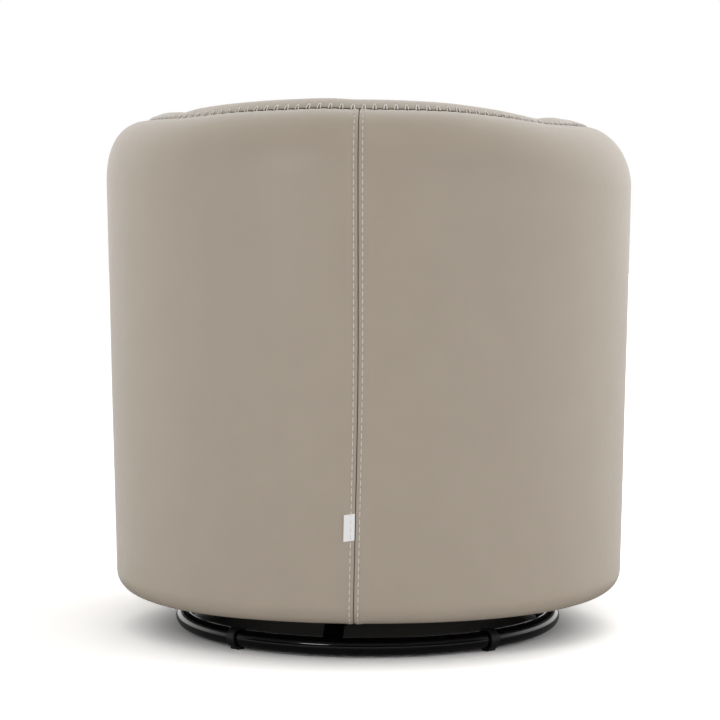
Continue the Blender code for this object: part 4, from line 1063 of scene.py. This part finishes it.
class CHAIR_OT_seat(bpy.types.Operator):
    """The crowned seat cushion and the leather border below it"""

    bl_idname = "tub_chair.seat"
    bl_label = "Seat"

    def execute(self, context):
        self.cushion()
        self.border()
        return {"FINISHED"}

    @staticmethod
    def plan(turn):
        """A point on the cushion's outline, at an angle from +Y to +X over one full turn."""
        side = 1 if turn <= pi else -1
        turn = turn if turn <= pi else 2 * pi - turn
        reach = SEAT_HALF_WIDTH - SIDE_GAP
        # The outline is round behind, straight along the arms, and a rounded rectangle's end in front.
        arm_turn, nose_turn, nose_roundness = pi / 2, 0.72 * pi, 2.6
        if turn <= arm_turn:
            lean = BACK_LEAN * cos(pi / 2 * min(degrees(turn) / LEAN_SPREAD, 1.0))
            radius = reach - lean
            return Vector((side * radius * sin(turn), radius * cos(turn)))
        if turn <= nose_turn:
            share = (turn - arm_turn) / (nose_turn - arm_turn)
            return Vector((side * reach, -ARM_REACH * share))
        share = (turn - nose_turn) / (pi - nose_turn)
        power = 2 / nose_roundness
        angle = share * pi / 2
        return Vector((
            side * reach * cos(angle) ** power if share < 1 else 0.0,
            -ARM_REACH - (NOSE_REACH - ARM_REACH) * sin(angle) ** power,
        ))

    def cushion(self):
        around, levels = 180, 72
        bm = bmesh.new()
        bmesh.ops.create_uvsphere(bm, u_segments=around, v_segments=levels, radius=1.0)
        middle = Vector((0, (SEAT_HALF_WIDTH - BACK_LEAN - NOSE_REACH) / 2))
        profile = self.profile(levels)
        for vert in bm.verts:
            level = round((pi / 2 - atan2(vert.co.z, sqrt(vert.co.x ** 2 + vert.co.y ** 2))) / pi * levels)
            turn = atan2(vert.co.x, vert.co.y) % (2 * pi)
            inset, height = profile[level]
            share = max(1 - inset / SEAT_HALF_WIDTH, 0.0)
            spot = middle.lerp(self.plan(turn), share)
            soft = smooth((height - DECK) / 0.05)
            wave = noise.noise(Vector((spot.x * 9, spot.y * 9, 1.3)))
            height += 0.0015 * soft * wave * min(1.0, inset / 0.03 + 0.3)
            vert.co = (spot.x, spot.y, height)
        bmesh.ops.recalc_face_normals(bm, faces=bm.faces)
        obj = piece_from(bm, "cushion", leather_material(), 60)
        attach(obj, "chair")
        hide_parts("seat_cushion")

    @staticmethod
    def profile(levels):
        """Levels from the crown's middle down the side to the bottom's middle, as (inset, height)."""
        # The side rolls over at both ends, and is drawn in a little between them.
        edge, roll, waist = DECK + CUSHION_EDGE, 0.012, 0.004
        crown_steps = levels // 2 - 12
        line = []
        for angle in steps(pi / 2, 0, crown_steps)[:-1]:
            line.append((
                roll + (SEAT_HALF_WIDTH - roll) * (1 - cos(angle)), edge + CUSHION_CROWN * sin(angle),
            ))
        for angle in steps(0, pi / 2, 5):
            line.append((roll * (1 - sin(angle)), edge - roll * (1 - cos(angle))))
        side_top, side_bottom = edge - roll, DECK + roll
        for share in steps(0, 1, 14)[1:-1]:
            height = side_top + (side_bottom - side_top) * share
            line.append((waist * sin(pi * share), height))
        for angle in steps(pi / 2, 0, 4):
            line.append((roll * (1 - sin(angle)), DECK + roll * (1 - cos(angle))))
        left = levels + 1 - len(line)
        for share in steps(0, 1, left)[1:]:
            line.append((roll + (SEAT_HALF_WIDTH - roll) * share, DECK))
        return line[:levels + 1]

    @staticmethod
    def border():
        low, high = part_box("front_border")
        half, reach = high.x, -low.y
        corner = ARM_REACH + ARM_FACING / 2
        swell, power = reach - corner, 4
        roll, top = 0.012, high.z
        profile = [(FLAP, top)]
        profile += [(roll * (1 - sin(a)), top - roll * (1 - cos(a))) for a in steps(0, pi / 2, 6)]
        foot_top = TUB_BOTTOM + FOOT_RADIUS
        profile += [(0.0, top - roll + (foot_top - top + roll) * share) for share in steps(0, 1, 16)[1:-1]]
        profile += [
            (FOOT_RADIUS * (1 - cos(a)), TUB_BOTTOM + FOOT_RADIUS * (1 - sin(a))) for a in steps(0, pi / 2, 8)
        ]
        profile.append((FOOT_RADIUS + FLAP, TUB_BOTTOM))
        lines = []
        for share in steps(1, -1, 60):
            x, y = half * share, swell * abs(share) ** power - reach
            lines.append([Vector((x, y + inset, height)) for inset, height in profile])
        bm = laid_grid(lines)
        face_outwards(bm, lambda spot: Vector((0, -1, 0)))
        obj = piece_from(bm, "front_leather", leather_material(), 60)
        give_thickness(obj, bpy.context.scene.tub_chair_tub.leather)
        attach(obj, "chair")
        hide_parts("front_border")


class CHAIR_OT_dust_cover(bpy.types.Operator):
    """The black cloth stapled across the underside, round the swivel"""

    bl_idname = "tub_chair.dust_cover"
    bl_label = "Dust cover"

    def execute(self, context):
        low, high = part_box("dust_cover")
        edge = self.outline(low, high)
        lines = []
        for spot in edge + edge[:1]:
            inner = spot.normalized() * DUST_COVER_HOLE
            line = []
            for share in steps(0, 1, 12):
                at = inner.lerp(spot, share)
                # The cloth hangs a little between its staples round the hole and those along the flap.
                uneven = 1 + 0.4 * noise.noise(Vector((at.x * 8, at.y * 8, 2.1)))
                sag = 0.0022 * sin(pi * share) ** 2 * uneven
                line.append(Vector((at.x, at.y, high.z - 0.0003 - sag)))
            lines.append(line)
        bm = laid_grid(lines)
        bmesh.ops.remove_doubles(bm, verts=bm.verts, dist=1e-6)
        face_outwards(bm, lambda spot: Vector((0, 0, -1)))
        obj = piece_from(bm, "underside_cloth", hidden_finish("black_cloth"), 60)
        give_thickness(obj, CLOTH_THICKNESS)
        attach(obj, "chair")
        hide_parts("dust_cover")
        return {"FINISHED"}

    @staticmethod
    def outline(low, high):
        """Points round the cloth's edge, in plan: round the back, along an arm, across the front and back."""
        inset = TUB_RADIUS - high.y
        corner = ARM_REACH - 0.004
        swell = max(-low.y - corner, 0.0)
        edge = [Vector((high.y * cos(a), high.y * sin(a), 0)) for a in steps(0, pi, 60)]
        arm = [Vector((arm_half_width(d) - inset, -d, 0)) for d in steps(0, corner, 10)[1:]]
        half = arm[-1].x
        edge += [Vector((-spot.x, spot.y, 0)) for spot in arm]
        edge += [Vector((half * s, low.y + swell * abs(s) ** 4, 0)) for s in steps(-1, 1, 24)[1:-1]]
        return edge + arm[::-1]


class CHAIR_OT_finishes(bpy.types.Operator):
    """The finishes of the frame, the swivel, the bars and the glides"""

    bl_idname = "tub_chair.finishes"
    bl_label = "Finishes"

    KINDS = {
        "glide_": "black_plastic", "cross_bar_": "black_enamel",
        "swivel_": "zinc_steel", "bar_rivet_": "zinc_steel", "king_": "zinc_steel", "ball_cage": "zinc_steel",
        "plate_screw_": "zinc_steel",
        "bottom_board": "plywood", "post_": "plywood", "back_rail": "plywood", "arm_rail_": "plywood",
        "seat_frame": "plywood", "front_panel": "plywood",
        "strap_": "webbing", "outer_backing_": "fibreboard",
    }

    def execute(self, context):
        for name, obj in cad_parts.items():
            kinds = [kind for start, kind in self.KINDS.items() if name.startswith(start)]
            if not kinds:
                continue
            material = enamel_material() if kinds[0] == "black_enamel" else hidden_finish(kinds[0])
            obj.data.materials.clear()
            obj.data.materials.append(material)
        return {"FINISHED"}


class CHAIR_OT_studio(bpy.types.Operator):
    """The pale floor, the white surroundings, the strip lamp and the camera"""

    bl_idname = "tub_chair.studio"
    bl_label = "Studio"

    def execute(self, context):
        self.floor()
        self.world()
        self.lamp()
        self.camera()
        context.scene.view_settings.view_transform = "Standard"
        return {"FINISHED"}

    @staticmethod
    def floor():
        bm = bmesh.new()
        bmesh.ops.create_grid(bm, x_segments=1, y_segments=1, size=40)
        material, tree, shader = new_material("painted_studio_floor", 0.9)
        tint = bpy.context.scene.tub_chair_colours.floor
        # The camera sees the floor brighter than the chair does, so that it turns white away from the chair
        # and keeps the chair's shadow; seen less bright on the left, it paints that shadow darker there.
        # Under the chair it is seen darker still, a painted shadow. Glossy rays see it darker round the feet
        # and brighter further off, a painted reflection: the enamel mirrors the dark floor round the feet,
        # and the leather the white beyond.
        path = add_node(tree, "ShaderNodeLightPath").outputs
        studio = bpy.context.scene.tub_chair_studio
        spot = object_coordinates(tree, (1, 1.25, 1))
        across = add_node(tree, "ShaderNodeSeparateXYZ", {0: spot}).outputs["X"]
        radius = add_node(tree, "ShaderNodeVectorMath", {0: spot}, operation="LENGTH").outputs["Value"]
        levels = {}
        for name, value, start, end, low, high in (
            ("left", across, 0.36, 0.0, studio.floor_left, studio.floor_middle),
            ("right", across, 0.0, -0.30, 1.0, studio.floor_right / studio.floor_middle),
            ("under", radius, 0.24, 0.375, studio.floor_shadow_under, 1.0),
            ("mirrored", radius, 0.38, 0.75, studio.floor_near, studio.floor_far),
        ):
            levels[name] = add_node(
                tree, "ShaderNodeMapRange",
                {"Value": value, "From Min": start, "From Max": end, "To Min": low, "To Max": high},
            )
        both = add_node(
            tree, "ShaderNodeMath", {0: levels["left"], 1: levels["right"]}, operation="MULTIPLY",
        )
        lift = add_node(tree, "ShaderNodeMath", {0: both, 1: levels["under"]}, operation="MULTIPLY")
        bright = add_node(tree, "ShaderNodeVectorMath", {0: tuple(tint), "Scale": lift}, operation="SCALE")
        dim = add_node(
            tree, "ShaderNodeVectorMath", {0: tuple(tint), "Scale": levels["mirrored"]}, operation="SCALE",
        )
        plain = add_node(
            tree, "ShaderNodeMix", {0: path["Is Glossy Ray"], 6: (*tint, 1), 7: dim}, data_type="RGBA",
        )
        mix = add_node(
            tree, "ShaderNodeMix", {0: path["Is Camera Ray"], 6: plain.outputs[2], 7: bright},
            data_type="RGBA",
        )
        matt = add_node(tree, "ShaderNodeBsdfDiffuse", {"Color": mix.outputs[2]})
        tree.links.new(matt.outputs[0], tree.nodes["Material Output"].inputs["Surface"])
        obj = piece_from(bm, "studio_floor", material)

    @staticmethod
    def world():
        studio = bpy.context.scene.tub_chair_studio
        world = bpy.data.worlds.new("studio")
        bpy.context.scene.world = world
        world.use_nodes = True
        tree = world.node_tree
        tree.nodes.clear()
        way = add_node(
            tree, "ShaderNodeSeparateXYZ", {0: add_node(tree, "ShaderNodeTexCoord").outputs["Generated"]},
        )

        # Each part goes from one strength to another between two values of the way's share along an axis.
        # The light on the chair is stronger near the floor on both sides than behind the viewer, and even
        # from above. What the leather and the enamel mirror is a dark room behind the viewer, white screens
        # behind the chair and on both sides, the right one closer, and a pale ceiling.
        parts = {}
        for name, axis, start, end, low, high in (
            ("right", "X", 0.0, -0.9, 0.0, studio.from_right),
            ("left", "X", 0.0, 0.9, 0.0, studio.from_left),
            ("front", "Y", 0.0, -0.9, studio.daylight, studio.daylight + studio.from_front),
            ("low", "Z", 0.0, 0.8, 1.0, 0.0),
            ("above", "Z", 0.0, 0.8, 0.0, studio.overhead),
            ("back_screen", "Y", 0.35, -0.35, 0.0, 1.1),
            ("right_screen", "X", 0.2, -0.8, 1.0, 1.5),
            ("left_screen", "X", -0.2, 0.8, 0.0, 0.25),
            ("ceiling", "Z", 0.25, 0.85, 0.0, 0.8),
        ):
            parts[name] = add_node(
                tree, "ShaderNodeMapRange",
                {"Value": way.outputs[axis], "From Min": start, "From Max": end, "To Min": low, "To Max": high},
            )
        for name, first, operation, second in (
            ("sides", "right", "ADD", "left"),
            ("all_round", "sides", "ADD", "front"),
            ("near_floor", "all_round", "MULTIPLY", "low"),
            ("daylight", "near_floor", "ADD", "above"),
            ("side_screens", "right_screen", "ADD", "left_screen"),
            ("screens", "back_screen", "MULTIPLY", "side_screens"),
            ("mirrored", "screens", "ADD", "ceiling"),
        ):
            parts[name] = add_node(
                tree, "ShaderNodeMath", {0: parts[first], 1: parts[second]}, operation=operation,
            )
        daylight = add_node(
            tree, "ShaderNodeBackground", {"Color": (1, 1, 1, 1), "Strength": parts["daylight"]},
        )
        path = add_node(tree, "ShaderNodeLightPath")
        gloss = add_node(
            tree, "ShaderNodeMath", {0: path.outputs["Is Glossy Ray"], 1: path.outputs["Is Transmission Ray"]},
            operation="MAXIMUM",
        )
        mirror = add_node(
            tree, "ShaderNodeBackground", {"Color": (1, 1, 1, 1), "Strength": parts["mirrored"]},
        )
        white = add_node(tree, "ShaderNodeBackground", {"Color": (1, 1, 1, 1), "Strength": 1.0})
        lit = add_node(tree, "ShaderNodeMixShader", {0: gloss, 1: daylight, 2: mirror})
        seen = add_node(tree, "ShaderNodeMixShader", {0: path.outputs["Is Camera Ray"], 1: lit, 2: white})
        add_node(tree, "ShaderNodeOutputWorld", {"Surface": seen})

    @staticmethod
    def lamp():
        """A small strip lamp over the viewer's left shoulder, for the glint along the ring."""
        studio = bpy.context.scene.tub_chair_studio
        data = bpy.data.lights.new("strip_lamp", "AREA")
        data.shape = "RECTANGLE"
        data.size, data.size_y = studio.strip_width, studio.strip_height
        data.energy = studio.strip_power
        lamp = bpy.data.objects.new("strip_lamp", data)
        bpy.context.scene.collection.objects.link(lamp)
        turn, up, away = studio.strip_turn, studio.strip_up, studio.distance
        lamp.location = (away * sin(turn) * cos(up), away * cos(turn) * cos(up), away * sin(up))
        lamp.rotation_euler = (pi / 2 - up, 0, pi - turn)

    @staticmethod
    def camera():
        studio = bpy.context.scene.tub_chair_studio
        data = bpy.data.cameras.new("camera")
        data.lens = studio.lens
        data.sensor_width = 36
        camera = bpy.data.objects.new("camera", data)
        bpy.context.scene.collection.objects.link(camera)
        angle = studio.round_back
        camera.location = (studio.distance * sin(angle), studio.distance * cos(angle), studio.height)
        camera.rotation_euler = (pi / 2 - studio.pitch, 0, pi - angle - studio.turn)
        bpy.context.scene.camera = camera


class CHAIR_PT_panel(bpy.types.Panel):
    """The chair's pieces and their settings"""

    bl_label = "Tub chair"
    bl_idname = "CHAIR_PT_panel"
    bl_space_type = "VIEW_3D"
    bl_region_type = "UI"
    bl_category = "Tub chair"

    def draw(self, context):
        for group, kind in GROUPS.items():
            box = self.layout.box()
            for name in kind.__annotations__:
                box.prop(getattr(context.scene, group), name)
        for operator in OPERATORS:
            self.layout.operator(operator.bl_idname)


OPERATORS = (
    CHAIR_OT_studio, CHAIR_OT_outer_leather, CHAIR_OT_rim_foam, CHAIR_OT_inner_pads, CHAIR_OT_whip_stitches,
    CHAIR_OT_topstitches, CHAIR_OT_seam_tag, CHAIR_OT_arm_facings, CHAIR_OT_seat, CHAIR_OT_ring_base,
    CHAIR_OT_dust_cover, CHAIR_OT_finishes,
)


def register():
    for kind in (*GROUPS.values(), *OPERATORS, CHAIR_PT_panel):
        bpy.utils.register_class(kind)
    for name, kind in GROUPS.items():
        setattr(bpy.types.Scene, name, PointerProperty(type=kind))


def unregister():
    for name in GROUPS:
        delattr(bpy.types.Scene, name)
    for kind in (CHAIR_PT_panel, *OPERATORS[::-1], *GROUPS.values()):
        bpy.utils.unregister_class(kind)


def main():
    """Make every piece in order."""
    register()
    bpy.ops.tub_chair.studio()
    bpy.ops.tub_chair.outer_leather()
    bpy.ops.tub_chair.rim_foam()
    bpy.ops.tub_chair.inner_pads()
    bpy.ops.tub_chair.whip_stitches()
    bpy.ops.tub_chair.topstitches()
    bpy.ops.tub_chair.seam_tag()
    bpy.ops.tub_chair.arm_facings()
    bpy.ops.tub_chair.seat()
    bpy.ops.tub_chair.ring_base()
    bpy.ops.tub_chair.dust_cover()
    bpy.ops.tub_chair.finishes()


if __name__ == "__main__":
    main()
